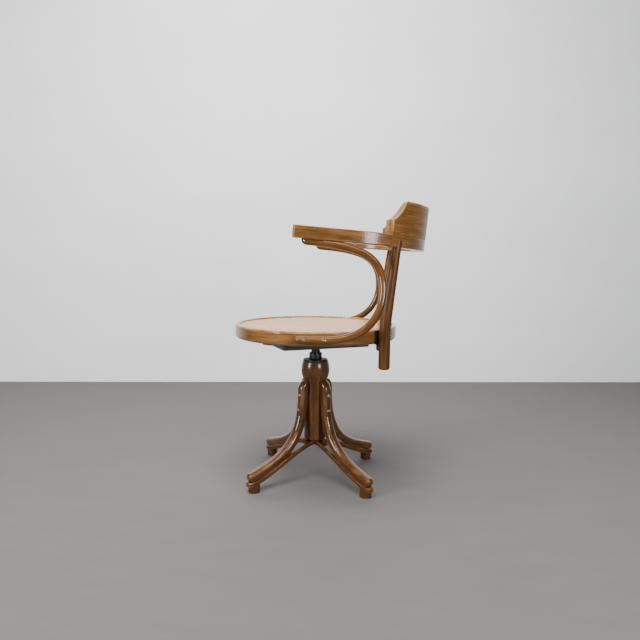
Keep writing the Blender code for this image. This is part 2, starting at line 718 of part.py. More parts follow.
def make_spider(ring):
    """Pressed pan with four bars that are screwed up into the seat ring."""
    turn = math.radians(PAN_TURN)
    bar_z = PAN_Z + PAN_DEPTH - ARM_BAR_THICK / 2
    size = (2 * (SEAT_RADIUS - ARM_BAR_INSET), ARM_BAR_WIDTH, ARM_BAR_THICK)
    spider = finish_piece(block("seat_spider", size), BLACK_STEEL)
    spider.location = (0.0, 0.0, bar_z)
    spider.rotation_euler = (0.0, 0.0, turn + math.radians(ARM_BAR_SPREAD))
    other = as_cutter(block("spider_second_bar", size))
    other.location = (0.0, 0.0, bar_z)
    other.rotation_euler = (0.0, 0.0, turn - math.radians(ARM_BAR_SPREAD))
    outer = as_cutter(slab("pan_outside", pan_corners(0.0), PAN_DEPTH))
    outer.location = (0.0, 0.0, PAN_Z + PAN_DEPTH / 2)
    inner = as_cutter(slab("pan_inside", pan_corners(PAN_WALL), PAN_DEPTH))
    inner.location = (0.0, 0.0, PAN_Z + PAN_DEPTH / 2 + PAN_WALL)
    for tool in (outer, inner):
        tool.rotation_euler = (0.0, 0.0, turn)
    combine(spider, other, "UNION")
    combine(spider, outer, "UNION")
    combine(spider, inner)
    centre = aimed((0.0, 0.0, PAN_Z), (0.0, 0.0, 1.0))
    bore(spider, centre, peg(JOURNAL_RADIUS + RUNNING_GAP, -PAN_WALL, 2 * PAN_WALL))
    under_z = PAN_Z + PAN_DEPTH - ARM_BAR_THICK - SEAT_GAP
    angles = (PAN_TURN + ARM_BAR_SPREAD, PAN_TURN - ARM_BAR_SPREAD)
    for number in range(LEG_COUNT):
        angle = angles[number % 2] + 180.0 * (number // 2)
        point = around(angle, SEAT_RADIUS - SPIDER_SCREW_INSET, under_z)
        screw(f"spider_screw_{number + 1}", point, (0.0, 0.0, -1.0), SPIDER_SCREW, (spider, ring), BLACK_STEEL)
    socket_top = SOCKET_Z + SOCKET_HEIGHT
    flange_top = SOCKET_Z + SOCKET_FLANGE_THICK
    bore_radius = JOURNAL_RADIUS + RUNNING_GAP
    outline = [(SOCKET_RADIUS, socket_top), (SOCKET_RADIUS, flange_top), (SOCKET_FLANGE_RADIUS, flange_top),
               (SOCKET_FLANGE_RADIUS, SOCKET_Z), (bore_radius, SOCKET_Z), (bore_radius, socket_top)]
    return finish_piece(turned("swivel_socket", outline, MEDIUM, closed=True), BLACK_STEEL)


def make_seat():
    """Bent ring with a rebate, and the pressed panel that lies in it."""
    inner = SEAT_RADIUS - RIM_WIDTH
    rebate = inner + REBATE_WIDTH
    top_round = arc((SEAT_RADIUS - RIM_TOP_ROUND, SEAT_TOP_Z - RIM_TOP_ROUND), RIM_TOP_ROUND, 90.0, 0.0, 4)
    low_round = arc((SEAT_RADIUS - RIM_LOW_ROUND, RIM_Z + RIM_LOW_ROUND), RIM_LOW_ROUND, 0.0, -90.0, 3)
    outline = [(rebate, SEAT_TOP_Z - RIM_INNER_EDGE), (rebate + RIM_INNER_EDGE, SEAT_TOP_Z)]
    outline += [tuple(point) for point in top_round + low_round]
    outline += [(inner, RIM_Z), (inner, SEAT_TOP_Z - REBATE_DEPTH), (rebate, SEAT_TOP_Z - REBATE_DEPTH)]
    ring = finish_piece(turned("seat_ring", outline, FINE, closed=True), BEECH)
    radius = rebate - SEAT_GAP
    flat = inner
    outline = []
    for step in range(5):
        share = step / 5
        outline.append((flat * share, PANEL_Z + PANEL_THICK - PANEL_DISH * (1 - share ** 2)))
    outline += [(flat, PANEL_Z + PANEL_THICK), (radius, PANEL_Z + PANEL_THICK), (radius, PANEL_Z), (flat, PANEL_Z)]
    for step in range(3, -1, -1):
        share = step / 5
        outline.append((flat * share, PANEL_Z - PANEL_DISH * (1 - share ** 2)))
    finish_piece(turned("seat_panel", outline, FINE), PALE_PLY)
    return ring


def rail_frame():
    """Empty on the top of the rail over the column, tilted with the rail."""
    frame = bpy.data.objects.new("rail_frame", None)
    frame.location = (0.0, 0.0, RAIL_TOP_Z)
    frame.rotation_euler = (-math.radians(RAIL_TILT), 0.0, 0.0)
    collection(PARTS).objects.link(frame)
    return frame


def rail_matrix():
    """World matrix of the rail frame."""
    return Matrix.Translation((0.0, 0.0, RAIL_TOP_Z)) @ Matrix.Rotation(-math.radians(RAIL_TILT), 4, "X")


def arm_outline(side):
    """Plan outline of an arm: a bent stretch and a straight one with rounded front corners."""
    first = JOINT_ANGLE + JOINT_GAP_ANGLE
    turn = math.radians(ARM_TURN)
    ahead = Vector((math.cos(turn), -math.sin(turn)))
    bend_end = from_back(ARM_TURN, BOW_RADIUS, 0.0, BOW_CENTRE_Y)
    straight = ahead * ((bend_end.y - ARM_FRONT_Y) / math.sin(turn))
    sides = []
    for half in (-ARM_WIDTH / 2, ARM_WIDTH / 2):
        line = []
        for step in range(8):
            angle = first + (ARM_TURN - first) * step / 7
            line.append(from_back(angle, BOW_RADIUS + half, 0.0, BOW_CENTRE_Y).to_2d())
        line.append(line[-1] + straight)
        sides.append(line)
    left, right = sides
    corners = fillet(left[-2], left[-1], right[-1], ARM_CORNER)
    corners += fillet(left[-1], right[-1], right[-2], ARM_CORNER)
    outline = left[:-1] + corners + right[-2::-1]
    return [Vector((side * point.x, point.y)) for point in outline]


def make_rail(frame):
    """Two arms and the back rail, butted and dowelled together."""
    arms = {}
    inner = BOW_RADIUS - RAIL_WIDTH / 2
    outer = BOW_RADIUS + RAIL_WIDTH / 2
    section = [(inner, -RAIL_HEIGHT), (outer, -RAIL_HEIGHT), (outer, 0.0), (inner, 0.0)]
    back = finish_piece(spun("back_rail", section, BOW_CENTRE_Y, -JOINT_ANGLE, JOINT_ANGLE, 18), BEECH)
    back.parent = frame
    soften(back, RAIL_EDGE)
    for name, side in (("left", 1), ("right", -1)):
        arm = finish_piece(slab("arm_" + name, arm_outline(side), RAIL_HEIGHT), BEECH)
        arm.parent = frame
        arm.location = (0.0, 0.0, -RAIL_HEIGHT / 2)
        soften(arm, RAIL_EDGE)
        middle = from_back(side * JOINT_ANGLE, BOW_RADIUS, -RAIL_HEIGHT / 2, BOW_CENTRE_Y)
        along = from_back(side * (JOINT_ANGLE + 90.0), 1.0)
        place = rail_matrix() @ aimed(middle, along)
        half = DOWEL_LENGTH / 2
        dowel = pegs("arm_dowel_" + name, [(place, peg(DOWEL_RADIUS, -half, half))])
        finish_piece(dowel, PALE_PLY)
        for target in (arm, back):
            bore(target, place, peg(DOWEL_RADIUS + SEAT_GAP, -half - SEAT_GAP, half + SEAT_GAP))
        arms[side] = arm
    return back, arms


def make_crest(frame):
    """Bent block glued on the back rail, rounded over inside and sawn down at both ends."""
    inner = BOW_RADIUS - RAIL_WIDTH / 2
    outer = BOW_RADIUS + RAIL_WIDTH / 2
    lean = CREST_RISE * math.tan(math.radians(CREST_LEAN))
    top_inner = outer + lean - CREST_TOP_THICK
    section = [(inner, SEAT_GAP), (outer, SEAT_GAP), (outer + lean, CREST_RISE), (top_inner, CREST_RISE)]
    steps = 5
    for step in range(1, steps + 1):
        angle = math.radians(90.0 + 90.0 * step / steps)
        section.append((top_inner + (top_inner - inner) * math.cos(angle),
                        CREST_ROUND_START + (CREST_RISE - CREST_ROUND_START) * math.sin(angle)))
    crest = finish_piece(spun("crest", section, BOW_CENTRE_Y, -JOINT_ANGLE, JOINT_ANGLE, 20), BEECH)
    crest.parent = frame
    end_x = outer * math.sin(math.radians(JOINT_ANGLE - CREST_SAW_ANGLE))
    start = Vector((end_x - CREST_RAMP_LENGTH, CREST_RISE + SEAT_GAP))
    end = Vector((end_x, CREST_SHOULDER))
    ramp = bezier(start, CREST_TOP_PULL, CREST_SHOULDER_PULL, end, 7)
    run_out = end - Vector(CREST_SHOULDER_PULL) * 2
    beyond = Vector((0.0, CREST_RISE))
    outline = [start + beyond] + ramp + [run_out, run_out + 2 * beyond]
    for side in (1, -1):
        points = [Vector((side * point.x, point.y)) for point in outline]
        saw = as_cutter(slab(f"crest_saw_{side + 1}", points, RAIL_WIDTH * 4))
        saw.parent = frame
        saw.location = from_back(side * CREST_SAW_ANGLE, BOW_RADIUS, 0.0, BOW_CENTRE_Y)
        saw.rotation_euler = (math.pi / 2, 0.0, -math.radians(side * CREST_SAW_ANGLE))
        combine(crest, saw)
    soften(crest, CREST_EDGE, 1, 50.0)
    return crest


def make_posts(frame, ring, back):
    """Two round posts from below the seat up into the back rail, with a spacer at the ring."""
    spacer_radius = SEAT_RADIUS + SEAT_GAP
    reach = spacer_radius + SPACER_THICK + SEAT_GAP + POST_RADIUS
    half_spacer = math.degrees(SPACER_WIDTH / 2 / spacer_radius)
    low = RIM_Z - POST_DROP
    bend_z = SEAT_TOP_Z + POST_BEND_RISE
    under = rail_matrix() @ Matrix.Translation((0.0, 0.0, -RAIL_HEIGHT))
    trim = as_cutter(block("rail_underside", (1.0, 1.0, RAIL_HEIGHT * 2),
                           (0.0, 0.0, RAIL_HEIGHT - SEAT_GAP)))
    trim.parent = frame
    trim.location = (0.0, 0.0, -RAIL_HEIGHT)
    for name, side in (("left", 1), ("right", -1)):
        foot = from_back(side * POST_ANGLE, reach, low)
        top = under @ from_back(side * POST_TOP_ANGLE, BOW_RADIUS + POST_TOP_OFFSET, 0.0, BOW_CENTRE_Y)
        bend = Vector((foot.x, foot.y, bend_z))
        up = (top - bend).normalized()
        points = []
        shares = []
        for step in range(4):
            angle = math.radians(90.0 * step / 3)
            points.append(foot + Vector((0.0, 0.0, POST_END_ROUND * (1 - math.cos(angle)))))
            shares.append(1 - POST_END_ROUND / POST_RADIUS * (1 - math.sin(angle)))
        bend_reach = 0.03
        before = bend - Vector((0.0, 0.0, bend_reach))
        for point in bezier(before, (0.0, 0.0, bend_reach / 2), -up * bend_reach / 2, bend + up * bend_reach, 4):
            points.append(point)
            shares.append(1.0)
        points.append(top + up * RAIL_HEIGHT)
        shares.append(POST_TOP_RADIUS / POST_RADIUS)
        post = finish_piece(rod("post_" + name, points, POST_RADIUS, shares), BEECH)
        combine(post, trim)
        place = aimed(top, up)
        tenon_low = -POST_TENON_LENGTH
        tenon = as_cutter(pegs(f"post_{name}_tenon", [(place, peg(POST_TENON_RADIUS, tenon_low, POST_TENON_LENGTH))]))
        combine(post, tenon, "UNION")
        bore(back, place, peg(POST_TENON_RADIUS + SEAT_GAP, tenon_low, POST_TENON_LENGTH + SEAT_GAP))
        section = [(spacer_radius, RIM_Z), (spacer_radius + SPACER_THICK, RIM_Z),
                   (spacer_radius + SPACER_THICK, SEAT_TOP_Z), (spacer_radius, SEAT_TOP_Z)]
        angle = side * POST_ANGLE
        spacer = spun("post_spacer_" + name, section, 0.0, angle - half_spacer, angle + half_spacer, 4)
        finish_piece(spacer, BLACK_WOOD)
        head = from_back(angle, SEAT_RADIUS - RIM_WIDTH + HEAD_SINK, RIM_Z + RIM_HEIGHT / 2)
        screw("post_screw_" + name, head, -from_back(angle, 1.0), POST_SCREW, (ring, spacer, post), BLACK_STEEL)


def make_supports(frame, ring, arms):
    """Two bent rods from under the arms, back and down, to the sides of the seat ring."""
    trim = bpy.data.objects["rail_underside"]
    ring_side = as_cutter(pegs("ring_side", [(Matrix.Identity(4), peg(SEAT_RADIUS + SEAT_GAP, RIM_Z - RIM_HEIGHT,
                                                                    SEAT_TOP_Z + RIM_HEIGHT))], FINE * 2))
    stand_off = SEAT_GAP + SUPPORT_RADIUS - SUPPORT_FLAT
    slope = math.radians(RAIL_TILT)
    upper_z = RAIL_TOP_Z - (RAIL_HEIGHT + stand_off) / math.cos(slope) - SUPPORT_UPPER_Y * math.tan(slope)
    lower_z = RIM_Z + RIM_HEIGHT / 2
    lower_x = SEAT_RADIUS + stand_off
    back_z = SEAT_TOP_Z + SUPPORT_BACK_RISE
    upper = (SUPPORT_UPPER_Y, upper_z)
    back = (SUPPORT_BACK_Y, back_z)
    pull = SUPPORT_UPPER_PULL
    path = bezier(upper, (pull * math.cos(slope), -pull * math.sin(slope)), (0.0, SUPPORT_BACK_UP_PULL), back, 11)
    path += bezier(back, (0.0, -SUPPORT_BACK_DOWN_PULL), (SUPPORT_LOWER_PULL, 0.0),
                   (SUPPORT_LOWER_TURN_Y, lower_z), 11)[1:]
    path.append(Vector((SUPPORT_LOWER_Y + SUPPORT_RADIUS / 2, lower_z)))
    path.append(Vector((SUPPORT_LOWER_Y, lower_z)))
    ahead = (path[0] - path[1]).normalized()
    rise = Vector((-ahead.y, ahead.x)) * -SUPPORT_RADIUS
    tips = []
    shares = []
    for share, reach in SUPPORT_TIP:
        tips.append(path[0] + ahead * reach + rise * (1 - share))
        shares.append(share)
    path = tips + path
    shares += [1.0] * (len(path) - len(tips) - 1) + [0.62]
    for name, side in (("left", 1), ("right", -1)):
        points = []
        for point in path:
            share = min(max((point.y - lower_z) / (upper_z - lower_z), 0.0), 1.0)
            points.append((side * (lower_x + (SUPPORT_UPPER_X - lower_x) * share), point.x, point.y))
        support = finish_piece(rod("arm_support_" + name, points, SUPPORT_RADIUS, shares), BEECH)
        combine(support, trim)
        combine(support, ring_side)
        face_x = lower_x + SUPPORT_RADIUS - HEAD_SINK
        for number, place_y in ((1, SUPPORT_SCREW_FRONT_Y), (2, SUPPORT_SCREW_REAR_Y)):
            screw(f"support_screw_{name}_{number}", (side * face_x, place_y, lower_z), (side, 0.0, 0.0),
                  SUPPORT_SCREW, (support, ring))
        drop = RAIL_HEIGHT + stand_off + SUPPORT_RADIUS - HEAD_SINK
        point = rail_matrix() @ Vector((side * SUPPORT_UPPER_X, SUPPORT_RAIL_SCREW_Y, -drop))
        down = rail_matrix().to_3x3() @ Vector((0.0, 0.0, -1.0))
        screw(f"arm_screw_{name}", point, down, SUPPORT_SCREW, (support, arms[side]))


def hang_on(pivot_name, height, pieces):
    """Parents the pieces of a moving body to an empty on the joint's axis."""
    pivot = bpy.data.objects.new(pivot_name, None)
    pivot.location = (0.0, 0.0, height)
    collection(PARTS).objects.link(pivot)
    for piece in pieces:
        piece.parent = pivot
        piece.matrix_parent_inverse = Matrix.Translation((0.0, 0.0, -height))
    return pivot


def build():
    """Makes the whole chair."""
    for old in list(bpy.data.objects):
        bpy.data.objects.remove(old, do_unlink=True)
    braces = make_braces()
    hub = make_hub()
    legs = make_legs(hub)
    make_feet(legs, braces)
    make_hub_steel(hub, braces)
    base = set(collection(PARTS).objects)
    nut = make_nut()
    spindle_set = make_spindle()
    below_seat = base | {nut, *spindle_set}
    ring = make_seat()
    make_spider(ring)
    frame = rail_frame()
    back, arms = make_rail(frame)
    make_crest(frame)
    make_posts(frame, ring, back)
    make_supports(frame, ring, arms)
    drill_holes()
    seat_set = [piece for piece in collection(PARTS).objects if piece not in below_seat and piece.parent is None]
    hang_on("nut_axis", NUT_Z, [nut])
    spindle_axis = hang_on("spindle_axis", SHOULDER_Z, spindle_set)
    seat_axis = hang_on("seat_axis", PAN_Z, seat_set)
    seat_axis.parent = spindle_axis
    seat_axis.matrix_parent_inverse = Matrix.Translation((0.0, 0.0, -SHOULDER_Z))
    column_axis = bpy.data.objects.new("column_axis", None)
    column_axis.location = (0.0, AXIS_Y, 0.0)
    collection(PARTS).objects.link(column_axis)
    for piece in bpy.data.objects:
        if piece.parent is None and piece is not column_axis:
            piece.parent = column_axis


build()
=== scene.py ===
"""Looks of a swivel armchair of bent and turned beech on a black steel screw spindle.

The chair faces -Y, the sitter's left is +X, and it stands on the floor at Z 0. Lengths are in metres
and angles in degrees. Each section makes one kind of piece, in the order in which the chair is built.
Pieces are shaped round the axis of the column and then moved to it.
"""

import math

import bmesh
import bpy
from mathutils import Matrix, Vector


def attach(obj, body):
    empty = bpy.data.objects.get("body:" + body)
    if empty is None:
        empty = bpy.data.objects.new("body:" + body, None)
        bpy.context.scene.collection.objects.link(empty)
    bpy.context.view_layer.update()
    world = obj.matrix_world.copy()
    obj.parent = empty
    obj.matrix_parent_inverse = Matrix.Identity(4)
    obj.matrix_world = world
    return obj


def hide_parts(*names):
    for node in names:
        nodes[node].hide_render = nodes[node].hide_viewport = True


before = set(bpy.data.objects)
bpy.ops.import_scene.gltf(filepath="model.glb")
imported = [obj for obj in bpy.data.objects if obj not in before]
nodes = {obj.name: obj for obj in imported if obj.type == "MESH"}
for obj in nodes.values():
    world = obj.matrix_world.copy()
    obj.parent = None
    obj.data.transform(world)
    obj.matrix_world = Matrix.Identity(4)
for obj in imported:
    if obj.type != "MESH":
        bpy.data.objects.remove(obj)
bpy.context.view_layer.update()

# Braces
# Two beech bows, steamed and bent, cross under the column, where they are halved into each other.
# Their edges are rounded over with a spokeshave. They are stained dark and lacquered.
CROSSING_Z = 0.0985
BRACE_THICK = 0.0135
BRACE_WIDTH = 0.0250
BRACE_REACH = 0.2310
BRACE_TIP_Z = 0.0228
BRACE_CROWN_PULL = 0.0660
BRACE_TIP_PULL = 0.0640
BRACE_EDGE = 0.0040
BRACE_NOSE = 0.0100
BRACE_LAP = 0.0003
LEG_AZIMUTH = 45.0
BRACE_STEPS = 32
MERGE_DISTANCE = 0.00001
SHARP_ANGLE = 38.0
FLAT_SHARE = 0.4
ROUND_END_ANGLE = 86.0
ROUND_END_ROOM = 1.2
COLUMN_Y = -0.0404
LEG_PALE = (0.180, 0.066, 0.013, 1.0)
LEG_DEEP = (0.075, 0.025, 0.005, 1.0)
WORN = (0.420, 0.225, 0.085, 1.0)
BLACK = (0.0, 0.0, 0.0, 1.0)
WHITE = (1.0, 1.0, 1.0, 1.0)
NOISE_ROUGHNESS = 0.62
CLOUD = (0.0, 0.110, 0.022, 3.0)
FIGURE = (3.0, 0.160, 0.0042, 4.0)
STREAK = (7.0, 0.045, 0.0011, 6.0)
FLECK = (11.0, 0.0060, 0.0006, 2.0)
RIPPLE = (17.0, 0.030, 0.018, 2.0)
CLOUD_RAMP = (0.30, 0.72)
FIGURE_RAMP = (0.40, 0.62)
FIGURE_SHADE = 0.55
FIGURE_STRENGTH = 0.45
PORE_RAMP = (0.38, 0.58)
PORE_TONE = (0.42, 0.38, 0.34, 1.0)
PORE_STRENGTH = 0.60
DASH_RAMP = (0.30, 0.42)
DASH_TONE = (0.50, 0.44, 0.38, 1.0)
DASH_STRENGTH = 0.45
RUB_RAMP = (0.38, 0.66)
POLISH_SPREAD = (-0.06, 0.10)
WOOD_SPECULAR = 0.10
FINE_BUMP = (0.10, 0.0003)
BROAD_BUMP = (0.06, 0.0012)


def add_node(tree, kind, **settings):
    """A shader node. Settings name its properties, or its inputs where they end in _in."""
    node = tree.nodes.new("ShaderNode" + kind)
    for key, value in settings.items():
        if key.endswith("_in"):
            node.inputs[key[:-3].replace("_", " ")].default_value = value
        else:
            setattr(node, key, value)
    return node


def ramp_between(tree, source, low, high, first, last):
    """A colour ramp from one colour to another, between two places."""
    ramp = add_node(tree, "ValToRGB")
    ramp.color_ramp.elements[0].position = low
    ramp.color_ramp.elements[0].color = first
    ramp.color_ramp.elements[1].position = high
    ramp.color_ramp.elements[1].color = last
    tree.links.new(source, ramp.inputs["Fac"])
    return ramp.outputs["Color"]


def blended(tree, factor, first, second, mode="MIX"):
    """Two colours mixed. A factor or a colour may be a value or another node's output."""
    mix = add_node(tree, "Mix", data_type="RGBA", blend_type=mode)
    for socket, value in ((mix.inputs[0], factor), (mix.inputs[6], first), (mix.inputs[7], second)):
        if isinstance(value, bpy.types.NodeSocket):
            tree.links.new(value, socket)
        else:
            socket.default_value = value
    return mix.outputs[2]


def stretched_noise(tree, place, shift, layer, axis):
    """Noise drawn out along the grain. A layer is its offset, the length and width of its blots, its detail."""
    offset, length, width, detail = layer
    scale = [1.0 / width] * 3
    scale[axis] = 1.0 / length
    mapping = add_node(tree, "Mapping", Scale_in=scale, Location_in=(shift + offset,) * 3)
    tree.links.new(place, mapping.inputs["Vector"])
    noise = add_node(tree, "TexNoise", Scale_in=1.0, Detail_in=detail, Roughness_in=NOISE_ROUGHNESS)
    tree.links.new(mapping.outputs["Vector"], noise.inputs["Vector"])
    return noise.outputs["Fac"]


def bumped(tree, height, size, base=None):
    """A bump of (strength, distance), laid over another normal where there is one."""
    bump = add_node(tree, "Bump", Strength_in=size[0], Distance_in=size[1])
    tree.links.new(height, bump.inputs["Height"])
    if base is not None:
        tree.links.new(base, bump.inputs["Normal"])
    return bump.outputs["Normal"]


def new_material(name):
    """A material, its node tree and its shader."""
    material = bpy.data.materials.new(name)
    material.use_nodes = True
    return material, material.node_tree, material.node_tree.nodes["Principled BSDF"]


def vary_polish(tree, shader, source, low, high):
    """Roughness that follows another node's output from low to high."""
    rough = add_node(tree, "MapRange", To_Min_in=low, To_Max_in=high)
    tree.links.new(source, rough.inputs["Value"])
    tree.links.new(rough.outputs["Result"], shader.inputs["Roughness"])


def lacquered_wood(name, pale, deep, axis=None, shift=0.0, polish=0.30, wear=0.55, coat=0.08, gloss=0.70):
    """Stained and lacquered beech. Its grain follows an object axis or, with none, the piece's own grain."""
    material, tree, shader = new_material(name)
    if axis is None:
        place = add_node(tree, "Attribute", attribute_name="grain").outputs["Vector"]
        axis = 0
    else:
        place = add_node(tree, "TexCoord").outputs["Object"]
    cloud = stretched_noise(tree, place, shift, CLOUD, axis)
    figure = stretched_noise(tree, place, shift, FIGURE, axis)
    streak = stretched_noise(tree, place, shift, STREAK, axis)
    fleck = stretched_noise(tree, place, shift, FLECK, axis)
    ripple = stretched_noise(tree, place, shift, RIPPLE, axis)
    colour = ramp_between(tree, cloud, *CLOUD_RAMP, deep, pale)
    dark = tuple(part * FIGURE_SHADE for part in deep[:3]) + (1.0,)
    bands = ramp_between(tree, figure, *FIGURE_RAMP, BLACK, WHITE)
    colour = blended(tree, bands, blended(tree, FIGURE_STRENGTH, colour, dark), colour)
    pores = ramp_between(tree, streak, *PORE_RAMP, PORE_TONE, WHITE)
    colour = blended(tree, PORE_STRENGTH, colour, pores, "MULTIPLY")
    dashes = ramp_between(tree, fleck, *DASH_RAMP, DASH_TONE, WHITE)
    colour = blended(tree, DASH_STRENGTH, colour, dashes, "MULTIPLY")
    rubbed = add_node(tree, "Attribute", attribute_name="wear").outputs["Fac"]
    patches = ramp_between(tree, ripple, *RUB_RAMP, BLACK, (wear, wear, wear, 1.0))
    patchy = add_node(tree, "Math", operation="MULTIPLY")
    tree.links.new(rubbed, patchy.inputs[0])
    tree.links.new(patches, patchy.inputs[1])
    colour = blended(tree, patchy.outputs["Value"], colour, WORN)
    tree.links.new(colour, shader.inputs["Base Color"])
    vary_polish(tree, shader, cloud, polish + POLISH_SPREAD[0], polish + POLISH_SPREAD[1])
    shader.inputs["Specular IOR Level"].default_value = WOOD_SPECULAR
    shader.inputs["Coat Weight"].default_value = gloss
    shader.inputs["Coat Roughness"].default_value = coat
    normal = bumped(tree, ripple, BROAD_BUMP, bumped(tree, streak, FINE_BUMP))
    tree.links.new(normal, shader.inputs["Normal"])
    tree.links.new(normal, shader.inputs["Coat Normal"])
    return material


def bezier(start, start_pull, end_pull, end, steps):
    """Points along a cubic curve between two ends and their two pulled handles."""
    ends = [Vector(start), Vector(start) + Vector(start_pull), Vector(end) + Vector(end_pull), Vector(end)]
    points = []
    for step in range(steps + 1):
        t = step / steps
        weights = ((1 - t) ** 3, 3 * t * (1 - t) ** 2, 3 * t * t * (1 - t), t ** 3)
        points.append(sum((w * p for w, p in zip(weights, ends)), Vector((0.0,) * len(start))))
    return points


def around(angle, radius=0.0, height=0.0):
    """The point at an angle from +X."""
    turn = math.radians(angle)
    return Vector((radius * math.cos(turn), radius * math.sin(turn), height))


def rounded_section(width, height, radii, corner_steps=5):
    """A rectangle with its four corners rounded, as (x, y, wear), from the +X +Y corner round to the left."""
    points = []
    for index, ((side_x, side_y), radius) in enumerate(zip(((1, 1), (-1, 1), (-1, -1), (1, -1)), radii)):
        middle = Vector((side_x * (width / 2 - radius), side_y * (height / 2 - radius)))
        margin = min(radius * 0.5, (min(width, height) / 2 - radius) * FLAT_SHARE)
        first = around(90.0 * index, radius).to_2d()
        last = around(90.0 * index + 90.0, radius).to_2d()
        points.append((*(middle + first - last.normalized() * margin), 0.0))
        for step in range(corner_steps + 1):
            share = step / corner_steps
            corner = middle + around(90.0 * (index + share), radius).to_2d()
            points.append((*corner, math.sin(math.pi * share)))
        points.append((*(middle + last - first.normalized() * margin), 0.0))
    return points


def stations_on(points, sides):
    """A place on each point of a path: Z along the path and X to the side."""
    places = []
    for index, point in enumerate(points):
        along = (points[min(index + 1, len(points) - 1)] - points[max(index - 1, 0)]).normalized()
        side = sides[index] if isinstance(sides, list) else sides
        across = (side - along * side.dot(along)).normalized()
        up = along.cross(across)
        columns = Matrix((across, up, along)).transposed().to_4x4()
        places.append(Matrix.Translation(point) @ columns)
    return places


def rounded_over(places, radius, half_width, half_height, edge=None, steps=8):
    """Stations with the last ones drawn in: the end is rounded in plan, and over its edge."""
    edge = radius if edge is None else edge
    end = places[-1]
    kept = [place for place in places if (place.translation - end.translation).length > radius * ROUND_END_ROOM]
    base = end @ Matrix.Translation((0.0, 0.0, -radius))
    for step in range(steps + 1):
        angle = math.radians(ROUND_END_ANGLE * step / steps)
        forth = radius * math.sin(angle)
        near = min(max(forth - radius + edge, 0.0) / edge, 1.0)
        thinner = edge * (1 - math.sqrt(1 - near ** 2)) / half_height
        squeeze = Matrix.Diagonal((1 - radius * (1 - math.cos(angle)) / half_width, 1 - thinner, 1.0, 1.0))
        kept.append(base @ Matrix.Translation((0.0, 0.0, forth)) @ squeeze)
    return kept


def swept(section, places):
    """A solid that carries a section through its stations, with its grain and its worn corners noted."""
    shape = bmesh.new()
    grain = shape.verts.layers.float_vector.new("grain")
    wear = shape.verts.layers.float.new("wear")
    corners = []
    for x, y, worn in section:
        corner = shape.verts.new(places[0] @ Vector((x, y, 0.0)))
        corner[grain] = (0.0, x, y)
        corner[wear] = worn
        corners.append(corner)
    face = shape.faces.new(corners)
    run = 0.0
    for before, place in zip(places, places[1:]):
        run += (place.translation - before.translation).length
        grown = bmesh.ops.extrude_face_region(shape, geom=[face])["geom"]
        face = next(item for item in grown if isinstance(item, bmesh.types.BMFace))
        bmesh.ops.transform(shape, matrix=place @ before.inverted(), verts=face.verts)
        for corner in face.verts:
            corner[grain] = (run, corner[grain].y, corner[grain].z)
    return shape


def made(shape, name, material):
    """An object made from a shape."""
    mesh = bpy.data.meshes.new(name)
    shape.to_mesh(mesh)
    shape.free()
    mesh.materials.append(material)
    piece = bpy.data.objects.new(name, mesh)
    bpy.context.scene.collection.objects.link(piece)
    return piece


def paint(material, *names):
    """Gives a material to nodes that keep their CAD shape."""
    for name in names:
        for slot in nodes[name].material_slots:
            slot.material = material


def show(shape, name, material, body, sharp=SHARP_ANGLE):
    """Turns a shape into a piece that rides on a body and stands for the CAD node of its name."""
    bmesh.ops.remove_doubles(shape, verts=shape.verts, dist=MERGE_DISTANCE)
    bmesh.ops.recalc_face_normals(shape, faces=shape.faces)
    bmesh.ops.translate(shape, vec=(0.0, COLUMN_Y, 0.0), verts=shape.verts)
    piece = made(shape, name, material)
    piece.data.shade_smooth()
    piece.data.set_sharp_from_angle(angle=math.radians(sharp))
    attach(piece, body)
    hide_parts(name)


def brace_half():
    """Reach and height of half a brace's middle line, from the column outwards."""
    return bezier((0.0, CROSSING_Z), (BRACE_CROWN_PULL, 0.0), (-BRACE_TIP_PULL, 0.0),
                  (BRACE_REACH, BRACE_TIP_Z), BRACE_STEPS)


for name, azimuth, lift in (("brace_lower", -LEG_AZIMUTH, 0.0), ("brace_upper", LEG_AZIMUTH, BRACE_LAP)):
    half = brace_half()
    line = [Vector((-point.x, point.y)) for point in reversed(half[1:])] + half
    route = [around(azimuth, point.x, point.y + lift) for point in line]
    places = stations_on(route, around(azimuth + 90.0, 1.0))
    places = rounded_over(places, BRACE_NOSE, BRACE_WIDTH / 2, BRACE_THICK / 2, BRACE_EDGE)
    turned_round = [place @ Matrix.Rotation(math.pi, 4, "X") for place in reversed(places)]
    turned_round = rounded_over(turned_round, BRACE_NOSE, BRACE_WIDTH / 2, BRACE_THICK / 2, BRACE_EDGE)
    section = rounded_section(BRACE_WIDTH, BRACE_THICK - lift, [BRACE_EDGE] * 4)
    wood = lacquered_wood(name + "_wood", LEG_PALE, LEG_DEEP, shift=azimuth, wear=0.40)
    show(swept(section, turned_round), name, wood, "base")

# Column
# One turned length of beech with a bulged head and a slight taper to its foot. It is stained as dark
# as the legs and is greyer at the head.
SEAT_GAP = 0.0003
HUB_BOTTOM_Z = CROSSING_Z + BRACE_THICK / 2 + SEAT_GAP
HUB_LENGTH = 0.2286
HUB_TOP_Z = HUB_BOTTOM_Z + HUB_LENGTH
HUB_BULGE_RADIUS = 0.0404
HUB_NECK_RADIUS = 0.0346
HUB_BULGE_HALF = 0.0280
HUB_BULGE_DROP = 0.0245
HUB_TOP_EDGE = 0.0012
HUB_FOOT_RADIUS = 0.0304
HUB_TAPER_DROP = 0.1276
HUB_TAPER_LENGTH = 0.0750
HUB_EDGE = 0.0050
HUB_NECK_STEP = 0.0002
HUB_BULGE_STEPS = 28
HUB_FOOT_STEPS = 6
HUB_GREY_START = 0.034
HUB_GREY_END = 0.002
HUB_GREY = 0.60
HUB_PALE = (0.190, 0.074, 0.015, 1.0)
HUB_DEEP = (0.065, 0.023, 0.005, 1.0)
